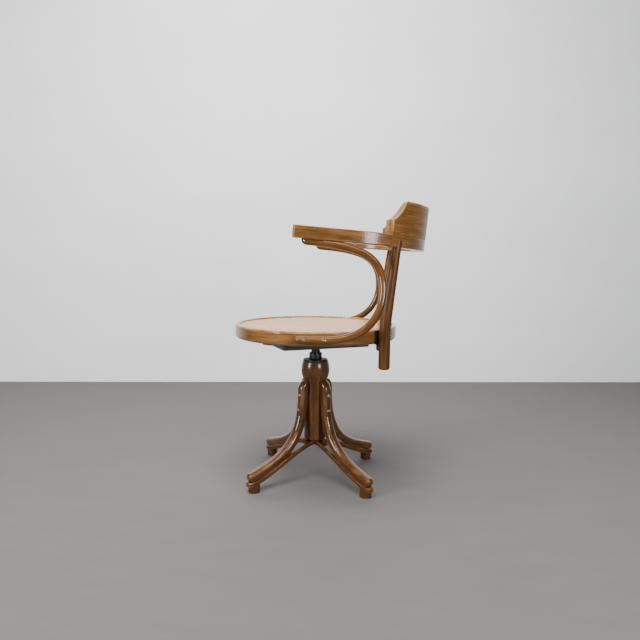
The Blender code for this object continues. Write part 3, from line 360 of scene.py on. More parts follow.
HUB_HEAD = (0.040, 0.028, 0.022, 1.0)
TURNING_STEPS = 96


def arc(centre, radius, start, end, steps):
    """Points of a flat arc."""
    return [Vector(centre) + around(start + (end - start) * step / steps, radius).to_2d()
            for step in range(steps + 1)]


def turned(outline, steps=TURNING_STEPS, closed=False):
    """A shape turned about Z from an outline of (radius, height)."""
    shape = bmesh.new()
    corners = [shape.verts.new((point[0], 0.0, point[1])) for point in outline]
    pairs = list(zip(corners, corners[1:]))
    if closed:
        pairs.append((corners[-1], corners[0]))
    edges = [shape.edges.new(pair) for pair in pairs]
    bmesh.ops.spin(shape, geom=corners + edges, cent=(0.0, 0.0, 0.0), axis=(0.0, 0.0, 1.0),
                   angle=2 * math.pi, steps=steps, use_merge=True, use_duplicate=False)
    return shape


bulge_round = (HUB_BULGE_HALF ** 2 + (HUB_BULGE_RADIUS - HUB_NECK_RADIUS) ** 2) / (
    2 * (HUB_BULGE_RADIUS - HUB_NECK_RADIUS))
bulge_top = math.degrees(math.asin((HUB_BULGE_DROP - HUB_TOP_EDGE) / bulge_round))
bulge_low = math.degrees(math.asin(HUB_BULGE_HALF / bulge_round))
head = arc((HUB_BULGE_RADIUS - bulge_round, HUB_TOP_Z - HUB_BULGE_DROP), bulge_round, bulge_top, -bulge_low,
           HUB_BULGE_STEPS)
taper_z = HUB_TOP_Z - HUB_TAPER_DROP
foot_round = arc((HUB_FOOT_RADIUS - HUB_EDGE, HUB_BOTTOM_Z + HUB_EDGE), HUB_EDGE, 0.0, -90.0, HUB_FOOT_STEPS)
outline = [(0.0, HUB_TOP_Z), (head[0].x - HUB_TOP_EDGE, HUB_TOP_Z)] + head
outline += [(HUB_NECK_RADIUS, taper_z + HUB_EDGE), (HUB_NECK_RADIUS - HUB_NECK_STEP, taper_z - HUB_EDGE)]
outline += [(HUB_FOOT_RADIUS, taper_z - HUB_TAPER_LENGTH)] + foot_round + [(0.0, HUB_BOTTOM_Z)]
hub_wood = lacquered_wood("hub_wood", HUB_PALE, HUB_DEEP, axis=2, shift=2.0, coat=0.20)
tree = hub_wood.node_tree
shader = tree.nodes["Principled BSDF"]
stained = shader.inputs["Base Color"].links[0].from_socket
parts = add_node(tree, "SeparateXYZ")
tree.links.new(add_node(tree, "TexCoord").outputs["Object"], parts.inputs["Vector"])
greyed = add_node(tree, "MapRange", From_Min_in=HUB_TOP_Z - HUB_GREY_START,
                  From_Max_in=HUB_TOP_Z - HUB_GREY_END, To_Min_in=0.0, To_Max_in=HUB_GREY,
                  interpolation_type="SMOOTHSTEP")
tree.links.new(parts.outputs["Z"], greyed.inputs["Value"])
tree.links.new(blended(tree, greyed.outputs["Result"], stained, HUB_HEAD), shader.inputs["Base Color"])
show(turned(outline), "hub", hub_wood, "base")

# Legs and their screws
# Four beech bows, bent to lie on the column above and on the braces below, with the outer face
# rounded. Two slotted round-head screws hold each one to the column.
LEG_THICK = 0.0228
LEG_WIDTH = 0.0270
LEG_INNER_RADIUS = HUB_NECK_RADIUS + SEAT_GAP
LEG_REACH = 0.2270
LEG_TIP_SLOPE = 15.0
LEG_TIP_LAP = 0.0012
LEG_TOP_DROP = 0.0560
LEG_BEND_DROP = 0.0850
LEG_BEND_PULL = 0.1475
LEG_TIP_PULL = 0.1200
LEG_OUTER_ROUND = 0.0105
LEG_INNER_ROUND = 0.0045
LEG_END_ROUND = 0.0075
LEG_SCREW_DROPS = (0.0947, 0.1365)
LEG_NAMES = ("leg_rear_left", "leg_rear_right", "leg_front_right", "leg_front_left")
LEG_STEPS = 44
LEG_CROWN_STEPS = 12
LEG_CROWN_NARROWING = 0.10
LEG_CORNER_STEPS = 9
LEG_SCREW = (0.0046, 0.0030)
LEG_SCREW_TURN = 35.0
LEG_SCREW_SINK = 0.40
HEAD_SINK = 0.0012
SLOT_HALF = 0.0005
SLOT_DEPTH = 0.45
SHANK_SHARE = 0.45
STEEL_DEPTH = 0.0030
SCREW_STEPS = 28
SCREW_DOME_STEP = 10
SCREW_SHARP = 30.0
TOP_FACE_TILT = 0.05
ZINC = (0.480, 0.440, 0.380, 1.0)
ZINC_DULL = (0.200, 0.170, 0.140, 1.0)
ZINC_POLISH = 0.26
STEEL_BLOTCH = (1.0, 0.0040, 0.0040, 4.0)
STEEL_SCRATCH = (5.0, 0.0100, 0.0003, 2.0)
STEEL_RAMP = (0.35, 0.62)
STEEL_DULLER = 0.18
STEEL_BUMP = (0.08, 0.0001)


def bare_steel(name, bright, dull, polish):
    """Plain steel, dulled in blotches and finely scratched."""
    material, tree, shader = new_material(name)
    shader.inputs["Metallic"].default_value = 1.0
    place = add_node(tree, "TexCoord").outputs["Object"]
    blotch = stretched_noise(tree, place, 0.0, STEEL_BLOTCH, 0)
    scratch = stretched_noise(tree, place, 0.0, STEEL_SCRATCH, 1)
    tree.links.new(ramp_between(tree, blotch, *STEEL_RAMP, dull, bright), shader.inputs["Base Color"])
    vary_polish(tree, shader, blotch, polish + STEEL_DULLER, polish)
    tree.links.new(bumped(tree, scratch, STEEL_BUMP), shader.inputs["Normal"])
    return material


zinc = bare_steel("zinc_steel", ZINC, ZINC_DULL, ZINC_POLISH)


def aimed(point, direction, roll=0.0):
    """A place at the point, with its Z along the direction and turned about it by roll."""
    turn = Vector(direction).to_track_quat("Z", "Y").to_matrix().to_4x4()
    return Matrix.Translation(point) @ turn @ Matrix.Rotation(math.radians(roll), 4, "Z")


def show_screw(name, place, size, material, body):
    """A slotted round-head screw, its head on the place and its shank below."""
    radius, height = size
    dome = [(radius * math.sin(math.radians(angle)), height * math.cos(math.radians(angle)))
            for angle in range(0, 91, SCREW_DOME_STEP)]
    shank = radius * SHANK_SHARE
    below = [(radius, -STEEL_DEPTH), (shank, -STEEL_DEPTH), (shank, -2 * STEEL_DEPTH), (0.0, -2 * STEEL_DEPTH)]
    shape = turned(dome + below, SCREW_STEPS)
    bmesh.ops.remove_doubles(shape, verts=shape.verts, dist=MERGE_DISTANCE)
    for side in (-1, 1):
        everything = shape.verts[:] + shape.edges[:] + shape.faces[:]
        bmesh.ops.bisect_plane(shape, geom=everything, plane_co=(0.0, side * SLOT_HALF, 0.0),
                               plane_no=(0.0, 1.0, 0.0), dist=MERGE_DISTANCE)
    floor = [face for face in shape.faces
             if face.normal.z > TOP_FACE_TILT and abs(face.calc_center_median().y) < SLOT_HALF]
    grown = bmesh.ops.extrude_face_region(shape, geom=floor)["geom"]
    sunk = [item for item in grown if isinstance(item, bmesh.types.BMVert)]
    bmesh.ops.translate(shape, vec=(0.0, 0.0, -height * SLOT_DEPTH), verts=sunk)
    bmesh.ops.transform(shape, matrix=place, verts=shape.verts)
    show(shape, name, material, body, SCREW_SHARP)


def height_on(points, reach):
    """Height of a flat path at a distance along its first coordinate."""
    for low, high in zip(points, points[1:]):
        if low.x <= reach <= high.x:
            return low.y + (high.y - low.y) * (reach - low.x) / (high.x - low.x)
    raise ValueError("the path does not reach that far")


brace_line = brace_half()
leg_middle = LEG_INNER_RADIUS + LEG_THICK / 2
slope = math.radians(LEG_TIP_SLOPE)
tip_z = height_on(brace_line, LEG_REACH) + BRACE_THICK / 2 + LEG_THICK / 2 / math.cos(slope) - LEG_TIP_LAP
leg_line = bezier((leg_middle, HUB_TOP_Z - LEG_BEND_DROP), (0.0, -LEG_BEND_PULL),
                  (-LEG_TIP_PULL * math.cos(slope), LEG_TIP_PULL * math.sin(slope)), (LEG_REACH, tip_z),
                  LEG_STEPS)
crown_z = HUB_TOP_Z - LEG_TOP_DROP - LEG_THICK
leg_line = [Vector((leg_middle, crown_z))] + leg_line
leg_section = rounded_section(LEG_WIDTH, LEG_THICK,
                              (LEG_OUTER_ROUND, LEG_OUTER_ROUND, LEG_INNER_ROUND, LEG_INNER_ROUND),
                              LEG_CORNER_STEPS)
for index, name in enumerate(LEG_NAMES):
    azimuth = LEG_AZIMUTH + 90.0 * index
    route = [around(azimuth, point.x, point.y) for point in leg_line]
    places = stations_on(route, around(azimuth + 90.0, 1.0))
    places[0] = Matrix.Translation(route[0]) @ places[1].to_3x3().to_4x4()
    crown = []
    for step in range(LEG_CROWN_STEPS, 0, -1):
        angle = math.radians(ROUND_END_ANGLE * step / LEG_CROWN_STEPS)
        squeeze = Matrix.Translation((0.0, -LEG_THICK / 2, -LEG_THICK * math.sin(angle)))
        narrower = 1 - LEG_CROWN_NARROWING * (1 - math.cos(angle))
        squeeze @= Matrix.Diagonal((narrower, math.cos(angle), 1.0, 1.0))
        squeeze @= Matrix.Translation((0.0, LEG_THICK / 2, 0.0))
        crown.append(places[0] @ squeeze)
    places = crown + rounded_over(places, LEG_END_ROUND, LEG_WIDTH / 2, LEG_THICK / 2)
    wood = lacquered_wood(name + "_wood", LEG_PALE, LEG_DEEP, shift=10.0 + index * 4.0, wear=0.30, coat=0.05,
                          gloss=1.0)
    show(swept(leg_section, places), name, wood, "base")
    outer_line = []
    for before, after in zip(leg_line, leg_line[1:]):
        along = (after - before).normalized()
        outer_line.append((before + after) / 2 + Vector((-along.y, along.x)) * LEG_THICK / 2)
    for number, drop in enumerate(LEG_SCREW_DROPS, start=1):
        height = HUB_TOP_Z - drop
        face = min(outer_line, key=lambda point: abs(point.y - height)).x
        place = aimed(around(azimuth, face - HEAD_SINK * LEG_SCREW_SINK, height), around(azimuth, 1.0),
                      LEG_SCREW_TURN * number + azimuth)
        show_screw(f"{name}_screw_{number}", place, LEG_SCREW, zinc, "base")

# Feet
# Four turned feet are let into the ends of the braces from below. Their lower edge is rounded, and
# their lacquer is duller than that of the legs. They are coloured darker as painted shade under the braces.
FOOT_CIRCLE = 0.2087
FOOT_RADIUS = 0.0156
FOOT_SOLE_RADIUS = 0.0138
FOOT_WAIST_RISE = 0.0036
FOOT_SOLE_EDGE = 0.0006
FOOT_ROUND_END = -75.0
FOOT_ROUND_STEPS = 5
FOOT_STEPS = 48
# Darker than the legs' tones: painted shade where the feet sit under the brace ends.
FOOT_SHADED_PALE = (0.130, 0.050, 0.012, 1.0)
FOOT_SHADED_DEEP = (0.050, 0.018, 0.005, 1.0)
foot_wood = lacquered_wood("foot_wood", FOOT_SHADED_PALE, FOOT_SHADED_DEEP, axis=2, shift=31.0, polish=0.42, coat=0.16)
foot_top = height_on(brace_line, FOOT_CIRCLE)
for index, leg_name in enumerate(LEG_NAMES):
    outline = [(0.0, foot_top), (FOOT_RADIUS, foot_top), (FOOT_RADIUS, FOOT_WAIST_RISE * 2)]
    outline += arc((FOOT_SOLE_RADIUS, FOOT_WAIST_RISE / 2), FOOT_RADIUS - FOOT_SOLE_RADIUS, 0.0, FOOT_ROUND_END,
                   FOOT_ROUND_STEPS)
    outline = [(point[0], max(point[1], 0.0)) for point in outline]
    outline += [(FOOT_SOLE_RADIUS - FOOT_SOLE_EDGE, 0.0), (0.0, 0.0)]
    shape = turned(outline, FOOT_STEPS)
    bmesh.ops.translate(shape, vec=around(LEG_AZIMUTH + 90.0 * index, FOOT_CIRCLE), verts=shape.verts)
    name = leg_name.replace("leg", "foot")
    show(shape, name, foot_wood, "base")

# Steel on the column
# A black enamelled steel plate is screwed on the column's head. Below it a tube guides the spindle,
# with a small key, and one screw from below ties the crossing of the braces to the column.
PLATE_RADIUS = 0.0342
PLATE_THICK = 0.0030
PLATE_EDGE = 0.0012
STEEL_EDGE_STEPS = 4
PLATE_SCREW_CIRCLE = 0.0258
PLATE_SCREW = (0.0034, 0.0012)
PLATE_SCREW_COUNT = 3
PLATE_SCREW_SINK = 0.60
CROSSING_SCREW = (0.0090, 0.0040)
CROSSING_SCREW_TURN = 20.0
SPINDLE_RADIUS = 0.01335
RUNNING_GAP = 0.0004
ENAMEL = (0.006, 0.006, 0.0065, 1.0)
ENAMEL_WORN = (0.035, 0.032, 0.030, 1.0)
ENAMEL_RUB = (2.0, 0.0200, 0.0060, 5.0)
ENAMEL_PEEL = (9.0, 0.0016, 0.0016, 2.0)
ENAMEL_RAMP = (0.55, 0.78)
ENAMEL_SPREAD = (-0.08, 0.14)
ENAMEL_BUMP = (0.20, 0.0002)


def black_enamel(name, polish, worn=0.30):
    """Black enamel on steel, with a light orange peel, rubbed and dusty in places."""
    material, tree, shader = new_material(name)
    place = add_node(tree, "TexCoord").outputs["Object"]
    rub = stretched_noise(tree, place, 0.0, ENAMEL_RUB, 2)
    peel = stretched_noise(tree, place, 0.0, ENAMEL_PEEL, 0)
    rubbed = tuple(part * worn for part in ENAMEL_WORN[:3]) + (1.0,)
    tree.links.new(ramp_between(tree, rub, *ENAMEL_RAMP, ENAMEL, rubbed), shader.inputs["Base Color"])
    vary_polish(tree, shader, rub, polish + ENAMEL_SPREAD[0], polish + ENAMEL_SPREAD[1])
    tree.links.new(bumped(tree, peel, ENAMEL_BUMP), shader.inputs["Normal"])
    return material


enamel = black_enamel("black_enamel", polish=0.42)
plate_z = HUB_TOP_Z + SEAT_GAP
plate_top = plate_z + PLATE_THICK
bore = SPINDLE_RADIUS + 2 * RUNNING_GAP
outline = [(bore, plate_top)]
outline += arc((PLATE_RADIUS - PLATE_EDGE, plate_top - PLATE_EDGE), PLATE_EDGE, 90.0, 0.0, STEEL_EDGE_STEPS)
outline += [(PLATE_RADIUS, plate_z), (bore, plate_z)]
show(turned(outline, closed=True), "hub_plate", enamel, "base")
for number in range(1, PLATE_SCREW_COUNT + 1):
    angle = 90.0 + 360.0 / PLATE_SCREW_COUNT * number
    point = around(angle, PLATE_SCREW_CIRCLE, plate_top - PLATE_SCREW[1] * PLATE_SCREW_SINK)
    show_screw(f"plate_screw_{number}", aimed(point, (0.0, 0.0, 1.0), angle), PLATE_SCREW, enamel, "base")
under = Vector((0.0, 0.0, CROSSING_Z - BRACE_THICK / 2 + HEAD_SINK))
show_screw("crossing_screw", aimed(under, (0.0, 0.0, -1.0), CROSSING_SCREW_TURN), CROSSING_SCREW, zinc, "base")
paint(zinc, "guide_tube", "guide_key", "thrust_washer", "retaining_clip")

# Screw spindle and collar nut
# The steel spindle has a square thread and a plain shoulder that carries the seat. A collar nut
# turns on the plate of the column and raises it. Both are black with oil and old enamel.
NUT_RADIUS = 0.0181
NUT_HEIGHT = 0.0177
NUT_EDGE = 0.0014
NECK_LENGTH = 0.0209
SPINDLE_LENGTH = 0.2200
COLLAR_LENGTH = 0.0060
JOURNAL_RADIUS = 0.0100
JOURNAL_LENGTH = 0.0340
THREAD_PITCH = 0.0060
THREAD_ROOT = 0.0117
THREAD_STEPS = 32
THREAD_PROFILE = ((0.0, 0.0), (0.42, 0.0), (0.50, 1.0), (0.92, 1.0), (1.0, 0.0))
oiled = black_enamel("oiled_steel", polish=0.34, worn=0.6)
nut_z = plate_top + RUNNING_GAP
nut_top = nut_z + NUT_HEIGHT
shoulder_z = nut_top + NECK_LENGTH
bore = SPINDLE_RADIUS + RUNNING_GAP
outline = [(bore, nut_top)]
outline += arc((NUT_RADIUS - NUT_EDGE, nut_top - NUT_EDGE), NUT_EDGE, 90.0, 0.0, STEEL_EDGE_STEPS)
outline += arc((NUT_RADIUS - NUT_EDGE, nut_z + NUT_EDGE), NUT_EDGE, 0.0, -90.0, STEEL_EDGE_STEPS)
outline.append((bore, nut_z))
show(turned(outline, closed=True), "collar_nut", enamel, "nut")
shape = turned([(0.0, shoulder_z + JOURNAL_LENGTH), (JOURNAL_RADIUS, shoulder_z + JOURNAL_LENGTH),
                (JOURNAL_RADIUS, shoulder_z), (SPINDLE_RADIUS, shoulder_z),
                (SPINDLE_RADIUS, shoulder_z - COLLAR_LENGTH), (THREAD_ROOT, shoulder_z - COLLAR_LENGTH),
                (THREAD_ROOT, shoulder_z - SPINDLE_LENGTH), (0.0, shoulder_z - SPINDLE_LENGTH)])
low = shoulder_z - SPINDLE_LENGTH
turns = int((SPINDLE_LENGTH - COLLAR_LENGTH) / THREAD_PITCH) - 1
corners = [shape.verts.new((SPINDLE_RADIUS if crest else THREAD_ROOT, 0.0, low + share * THREAD_PITCH))
           for share, crest in THREAD_PROFILE]
edges = [shape.edges.new(pair) for pair in zip(corners, corners[1:])]
bmesh.ops.spin(shape, geom=corners + edges, cent=(0.0, 0.0, 0.0), axis=(0.0, 0.0, 1.0),
               dvec=(0.0, 0.0, THREAD_PITCH / THREAD_STEPS), angle=2 * math.pi * turns,
               steps=THREAD_STEPS * turns, use_duplicate=False)
show(shape, "spindle", oiled, "screw", SCREW_SHARP)

# Steel spider and swivel socket
# A pan pressed from sheet steel with four bars that are screwed up into the seat ring. The socket
# in the pan turns on the spindle's journal. All of it is enamelled black.
SPIDER_SCREW = (0.0045, 0.0022)
SPIDER_SCREW_CIRCLE = 0.2050
PAN_TURN = 117.0
ARM_BAR_SPREAD = 33.0
ARM_BAR_THICK = 0.0030
PAN_DEPTH = 0.0248
WASHER_THICK = 0.0012
PAN_Z = shoulder_z + SEAT_GAP + WASHER_THICK + RUNNING_GAP
pan_enamel = black_enamel("pan_enamel", polish=0.50)
paint(pan_enamel, "seat_spider", "swivel_socket")
under_z = PAN_Z + PAN_DEPTH - ARM_BAR_THICK - SEAT_GAP
spider_angles = (PAN_TURN + ARM_BAR_SPREAD, PAN_TURN - ARM_BAR_SPREAD)
for number in range(4):
    angle = spider_angles[number % 2] + 180.0 * (number // 2)
    place = aimed(around(angle, SPIDER_SCREW_CIRCLE, under_z), (0.0, 0.0, -1.0), angle)
    show_screw(f"spider_screw_{number + 1}", place, SPIDER_SCREW, enamel, "seat")

# Seat ring
# One length of beech bent into a hoop and scarfed, with a rebate for the panel. Its outer edges
# are rounded. Its top is coloured a paler gold, partly as rubbing and partly as a painted highlight.
SEAT_RADIUS = 0.2250
RIM_Z = PAN_Z + PAN_DEPTH + SEAT_GAP
RIM_HEIGHT = 0.0360
SEAT_TOP_Z = RIM_Z + RIM_HEIGHT
RIM_WIDTH = 0.0320
RIM_TOP_ROUND = 0.0055
RIM_LOW_ROUND = 0.0060
RIM_INNER_EDGE = 0.0020
RIM_INNER_START = 150.0
RIM_BAND = 1.3
RIM_INNER_STEPS = 3
RIM_TOP_STEPS = 8
RIM_LOW_STEPS = 6
REBATE_WIDTH = 0.0198
REBATE_DEPTH = 0.0088
BEECH_PALE = (0.350, 0.165, 0.048, 1.0)
BEECH_DEEP = (0.130, 0.055, 0.014, 1.0)
RING_STEPS = 160
RING_SEAM = 100.0


def lay_round_grain(shape, centre_y=0.0):
    """Notes grain that runs round the ring, on each face's corners, so that the scarf stays sharp."""
    grain = shape.loops.layers.float_vector.new("grain")
    for face in shape.faces:
        middle = face.calc_center_median()
        centre = math.atan2(middle.y - centre_y, middle.x)
        base = (centre - math.radians(RING_SEAM)) % (2 * math.pi)
        for loop in face.loops:
            place = loop.vert.co
            turn = math.atan2(place.y - centre_y, place.x) - centre
            turn = (turn + math.pi) % (2 * math.pi) - math.pi
            radius = math.hypot(place.x, place.y - centre_y)
            loop[grain] = ((base + turn) * SEAT_RADIUS, radius, place.z)


inner = SEAT_RADIUS - RIM_WIDTH
rebate = inner + REBATE_WIDTH
outline = [(rebate, SEAT_TOP_Z - RIM_INNER_EDGE)]
outline += arc((rebate + RIM_INNER_EDGE, SEAT_TOP_Z - RIM_INNER_EDGE), RIM_INNER_EDGE, RIM_INNER_START, 90.0,
               RIM_INNER_STEPS)
outline += arc((SEAT_RADIUS - RIM_TOP_ROUND, SEAT_TOP_Z - RIM_TOP_ROUND), RIM_TOP_ROUND, 90.0, 0.0,
               RIM_TOP_STEPS)
outline.append((SEAT_RADIUS, SEAT_TOP_Z - RIM_TOP_ROUND * RIM_BAND))
outline.append((SEAT_RADIUS, RIM_Z + RIM_LOW_ROUND * RIM_BAND))
outline += arc((SEAT_RADIUS - RIM_LOW_ROUND, RIM_Z + RIM_LOW_ROUND), RIM_LOW_ROUND, 0.0, -90.0, RIM_LOW_STEPS)
outline += [(inner, RIM_Z), (inner, SEAT_TOP_Z - REBATE_DEPTH), (rebate, SEAT_TOP_Z - REBATE_DEPTH)]
shape = turned(outline, RING_STEPS, closed=True)
bmesh.ops.remove_doubles(shape, verts=shape.verts, dist=MERGE_DISTANCE)
# This mask pales the whole top and its rounding: real rubbing plus a painted highlight on the upward faces.
wear = shape.verts.layers.float.new("wear")
for corner in shape.verts:
    rise = (corner.co.z - SEAT_TOP_Z + RIM_TOP_ROUND) / RIM_TOP_ROUND
    corner[wear] = max(0.0, math.sin(math.pi * min(max(rise, 0.0), 1.0) * 0.5))
lay_round_grain(shape)
ring_wood = lacquered_wood("ring_wood", BEECH_PALE, BEECH_DEEP, shift=41.0, wear=0.75)
show(shape, "seat_ring", ring_wood, "seat")

# Seat panel
# A round of pressed plywood, slightly dished, glued in the rebate of the ring. It is stained paler
# than the frame, under a satin lacquer.
PANEL_Z = SEAT_TOP_Z - REBATE_DEPTH + SEAT_GAP
PANEL_THICK = 0.0050
PANEL_DISH = 0.0040
PANEL_EDGE = 0.0008
PANEL_STEPS = 12
PANEL_PALE = (0.760, 0.365, 0.115, 1.0)
PANEL_DEEP = (0.580, 0.250, 0.070, 1.0)
panel_radius = rebate - SEAT_GAP
panel_top = PANEL_Z + PANEL_THICK
dish = [step / PANEL_STEPS for step in range(PANEL_STEPS + 1)]
outline = [(inner * share, panel_top - PANEL_DISH * (1 - share ** 2)) for share in dish]
outline += [(panel_radius - PANEL_EDGE, panel_top), (panel_radius, panel_top - PANEL_EDGE)]
outline.append((panel_radius, PANEL_Z))
outline += [(inner * share, PANEL_Z - PANEL_DISH * (1 - share ** 2)) for share in reversed(dish)]
panel_wood = lacquered_wood("panel_wood", PANEL_PALE, PANEL_DEEP, axis=1, shift=53.0, polish=0.24, coat=0.12,
                            gloss=0.25)
show(turned(outline, RING_STEPS), "seat_panel", panel_wood, "seat")

# Back rail and arms
# Three lengths of bent beech make one bow round the sitter: the back rail, and the two arms that
# are butted on it and dowelled. Faces are flat and edges barely broken, with the front corners round.
ARM_RISE = 0.2566
RAIL_TOP_Z = SEAT_TOP_Z + ARM_RISE
RAIL_TILT = 4.6
RAIL_HEIGHT = 0.0310
BOW_CENTRE_Y = 0.0825
BOW_RADIUS = 0.2000
RAIL_WIDTH = 0.0330
RAIL_EDGE = 0.0024
RAIL_CORNER_STEPS = 4
ARM_WIDTH = 0.0280
ARM_FRONT_Y = -0.0395
ARM_TURN = 84.5
ARM_CORNER = 0.0080
ARM_CORNER_ANGLE = 84.0
ARM_CORNER_STEPS = 7
ARM_END_START = 0.7
RAIL_STEPS = 30
ARM_BEND_STEPS = 16
ARM_STEPS = 10
JOINT_ANGLE = 56.2
JOINT_GAP_ANGLE = math.degrees(SEAT_GAP / BOW_RADIUS)
rail_place = Matrix.Translation((0.0, 0.0, RAIL_TOP_Z)) @ Matrix.Rotation(-math.radians(RAIL_TILT), 4, "X")


def from_back(angle, radius, height=0.0, centre_y=BOW_CENTRE_Y):
    """The point at an angle from the back (+Y), towards +X."""
    return around(90.0 - angle, radius, height) + Vector((0.0, centre_y, 0.0))


angles = [JOINT_ANGLE * (step / RAIL_STEPS - 1) for step in range(2 * RAIL_STEPS + 1)]
route = [from_back(angle, BOW_RADIUS, -RAIL_HEIGHT / 2) for angle in angles]
places = stations_on(route, [from_back(angle, 1.0, 0.0, 0.0) for angle in angles])
shape = swept(rounded_section(RAIL_WIDTH, RAIL_HEIGHT, [RAIL_EDGE] * 4, RAIL_CORNER_STEPS), places)
bmesh.ops.transform(shape, matrix=rail_place, verts=shape.verts)
rail_wood = lacquered_wood("rail_wood", BEECH_PALE, BEECH_DEEP, shift=61.0, coat=0.16, gloss=0.60)
show(shape, "back_rail", rail_wood, "seat")

bend_end = from_back(ARM_TURN, BOW_RADIUS, -RAIL_HEIGHT / 2)
ahead = from_back(ARM_TURN + 90.0, 1.0, 0.0, 0.0)
straight = (bend_end.y - ARM_FRONT_Y) / -ahead.y
for name, side in (("left", 1), ("right", -1)):
    mirror = Matrix.Diagonal((side, 1.0, 1.0))
    first = JOINT_ANGLE + JOINT_GAP_ANGLE
    angles = [first + (ARM_TURN - first) * step / ARM_BEND_STEPS for step in range(ARM_BEND_STEPS + 1)]
    route = [mirror @ from_back(angle, BOW_RADIUS, -RAIL_HEIGHT / 2) for angle in angles]
    outward = [mirror @ from_back(angle, 1.0, 0.0, 0.0) for angle in angles]
    for step in range(1, ARM_STEPS + 1):
        route.append(mirror @ (bend_end + ahead * straight * step / ARM_STEPS))
        outward.append(outward[-1])
    places = stations_on(route, outward)
    front = places[-1]
    room = ARM_CORNER * ROUND_END_ROOM
    places = [place for place in places if (place.translation - front.translation).length > room]
    base = front @ Matrix.Translation((0.0, 0.0, -ARM_CORNER))
    for step in range(ARM_CORNER_STEPS + 1):
        angle = math.radians(ARM_CORNER_ANGLE * step / ARM_CORNER_STEPS)
        inset = ARM_CORNER * (1 - math.cos(angle))
        drop = RAIL_EDGE * max(0.0, math.sin(angle) - ARM_END_START) / (1 - ARM_END_START)
        squeeze = Matrix.Diagonal((1 - 2 * inset / ARM_WIDTH, 1 - 2 * drop / RAIL_HEIGHT, 1.0, 1.0))
        places.append(base @ Matrix.Translation((0.0, 0.0, ARM_CORNER * math.sin(angle))) @ squeeze)
    shape = swept(rounded_section(ARM_WIDTH, RAIL_HEIGHT, [RAIL_EDGE] * 4, RAIL_CORNER_STEPS), places)
    bmesh.ops.transform(shape, matrix=rail_place, verts=shape.verts)
    wood = lacquered_wood(f"arm_{name}_wood", BEECH_PALE, BEECH_DEEP, shift=67.0 + side, coat=0.20)
    show(shape, "arm_" + name, wood, "seat")
    paint(rail_wood, "arm_dowel_" + name)

# Crest
# A bent block glued on the back rail. It is rounded over inside for the sitter's back, and sawn down
# in a curve at each end, where the cut edges are rubbed pale.
CREST_RISE = 0.0835
CREST_TOP_THICK = 0.0100
CREST_LEAN = 0.8
CREST_ROUND_START = 0.0400
CREST_SAW_ANGLE = 65.0
CREST_RAMP_LENGTH = 0.0348
CREST_SHOULDER = 0.0361
CREST_TOP_PULL = (0.0098, -0.0275)
CREST_SHOULDER_PULL = (-0.0124, 0.0050)
CREST_EDGE = 0.0018
CREST_CRISP_ANGLE = 48.0
CREST_SHARP = 32.0
CREST_RAMP_STEPS = 40
CREST_RAMP_RUN = 4
CREST_BACK_STEPS = 10
CREST_ROUND_STEPS = 14
CREST_FACE_STEPS = 8
CREST_MERGE = 5 * MERGE_DISTANCE
CREST_STEPS = 200
CREST_PALE = (0.330, 0.150, 0.038, 1.0)
CREST_DEEP = (0.160, 0.066, 0.015, 1.0)
outer = BOW_RADIUS + RAIL_WIDTH / 2
inner_face = BOW_RADIUS - RAIL_WIDTH / 2
lean = CREST_RISE * math.tan(math.radians(CREST_LEAN))
top_inner = outer + lean - CREST_TOP_THICK
end_x = outer * math.sin(math.radians(JOINT_ANGLE - CREST_SAW_ANGLE))
ramp = bezier((end_x - CREST_RAMP_LENGTH, CREST_RISE + SEAT_GAP), CREST_TOP_PULL, CREST_SHOULDER_PULL,
              (end_x, CREST_SHOULDER), CREST_RAMP_STEPS)
ramp.append(ramp[-1] - Vector(CREST_SHOULDER_PULL) * CREST_RAMP_RUN)
saw_side = around(90.0 - CREST_SAW_ANGLE - 90.0, 1.0)
saw_start = from_back(CREST_SAW_ANGLE, BOW_RADIUS, 0.0, 0.0)
section = [(inner_face, SEAT_GAP), (outer, SEAT_GAP)]
for step in range(1, CREST_BACK_STEPS + 1):
    share = step / CREST_BACK_STEPS
    section.append((outer + lean * share, SEAT_GAP + (CREST_RISE - SEAT_GAP) * share))
section.append((top_inner, CREST_RISE))
for step in range(1, CREST_ROUND_STEPS + 1):
    angle = math.radians(90.0 + 90.0 * step / CREST_ROUND_STEPS)
    section.append((top_inner + (top_inner - inner_face) * math.cos(angle),
                    CREST_ROUND_START + (CREST_RISE - CREST_ROUND_START) * math.sin(angle)))
section += [(inner_face, SEAT_GAP + (CREST_ROUND_START - SEAT_GAP) * step / CREST_FACE_STEPS)
            for step in range(CREST_FACE_STEPS - 1, 0, -1)]
shape = bmesh.new()
grain = shape.verts.layers.float_vector.new("grain")
wear = shape.verts.layers.float.new("wear")
rings = []
for step in range(CREST_STEPS + 1):
    angle = JOINT_ANGLE * (2 * step / CREST_STEPS - 1)
    ring = []
    for radius, height in section:
        place = from_back(abs(angle), radius, 0.0, 0.0)
        across = (place - saw_start).dot(saw_side)
        if across > ramp[0].x:
            height = min(height, height_on(ramp, across))
        place = from_back(angle, radius, height)
        corner = shape.verts.new(place)
        corner[grain] = (math.radians(angle) * BOW_RADIUS, radius, height)
        ring.append(corner)
    rings.append([shape.edges.new((first, last)) for first, last in zip(ring, ring[1:] + ring[:1])])
for before, after in zip(rings, rings[1:]):
    bmesh.ops.bridge_loops(shape, edges=before + after)
for ring in (rings[0], rings[-1]):
    bmesh.ops.contextual_create(shape, geom=ring)
bmesh.ops.remove_doubles(shape, verts=shape.verts, dist=CREST_MERGE)
bmesh.ops.recalc_face_normals(shape, faces=shape.faces)
crisp = [edge for edge in shape.edges if edge.calc_face_angle(0.0) > math.radians(CREST_CRISP_ANGLE)]
bevelled = bmesh.ops.bevel(shape, geom=crisp, offset=CREST_EDGE, segments=2, profile=0.5, affect="EDGES",
                           clamp_overlap=True, material=-1)
for face in bevelled["faces"]:
    for corner in face.verts:
        corner[wear] = 1.0
bmesh.ops.transform(shape, matrix=rail_place, verts=shape.verts)
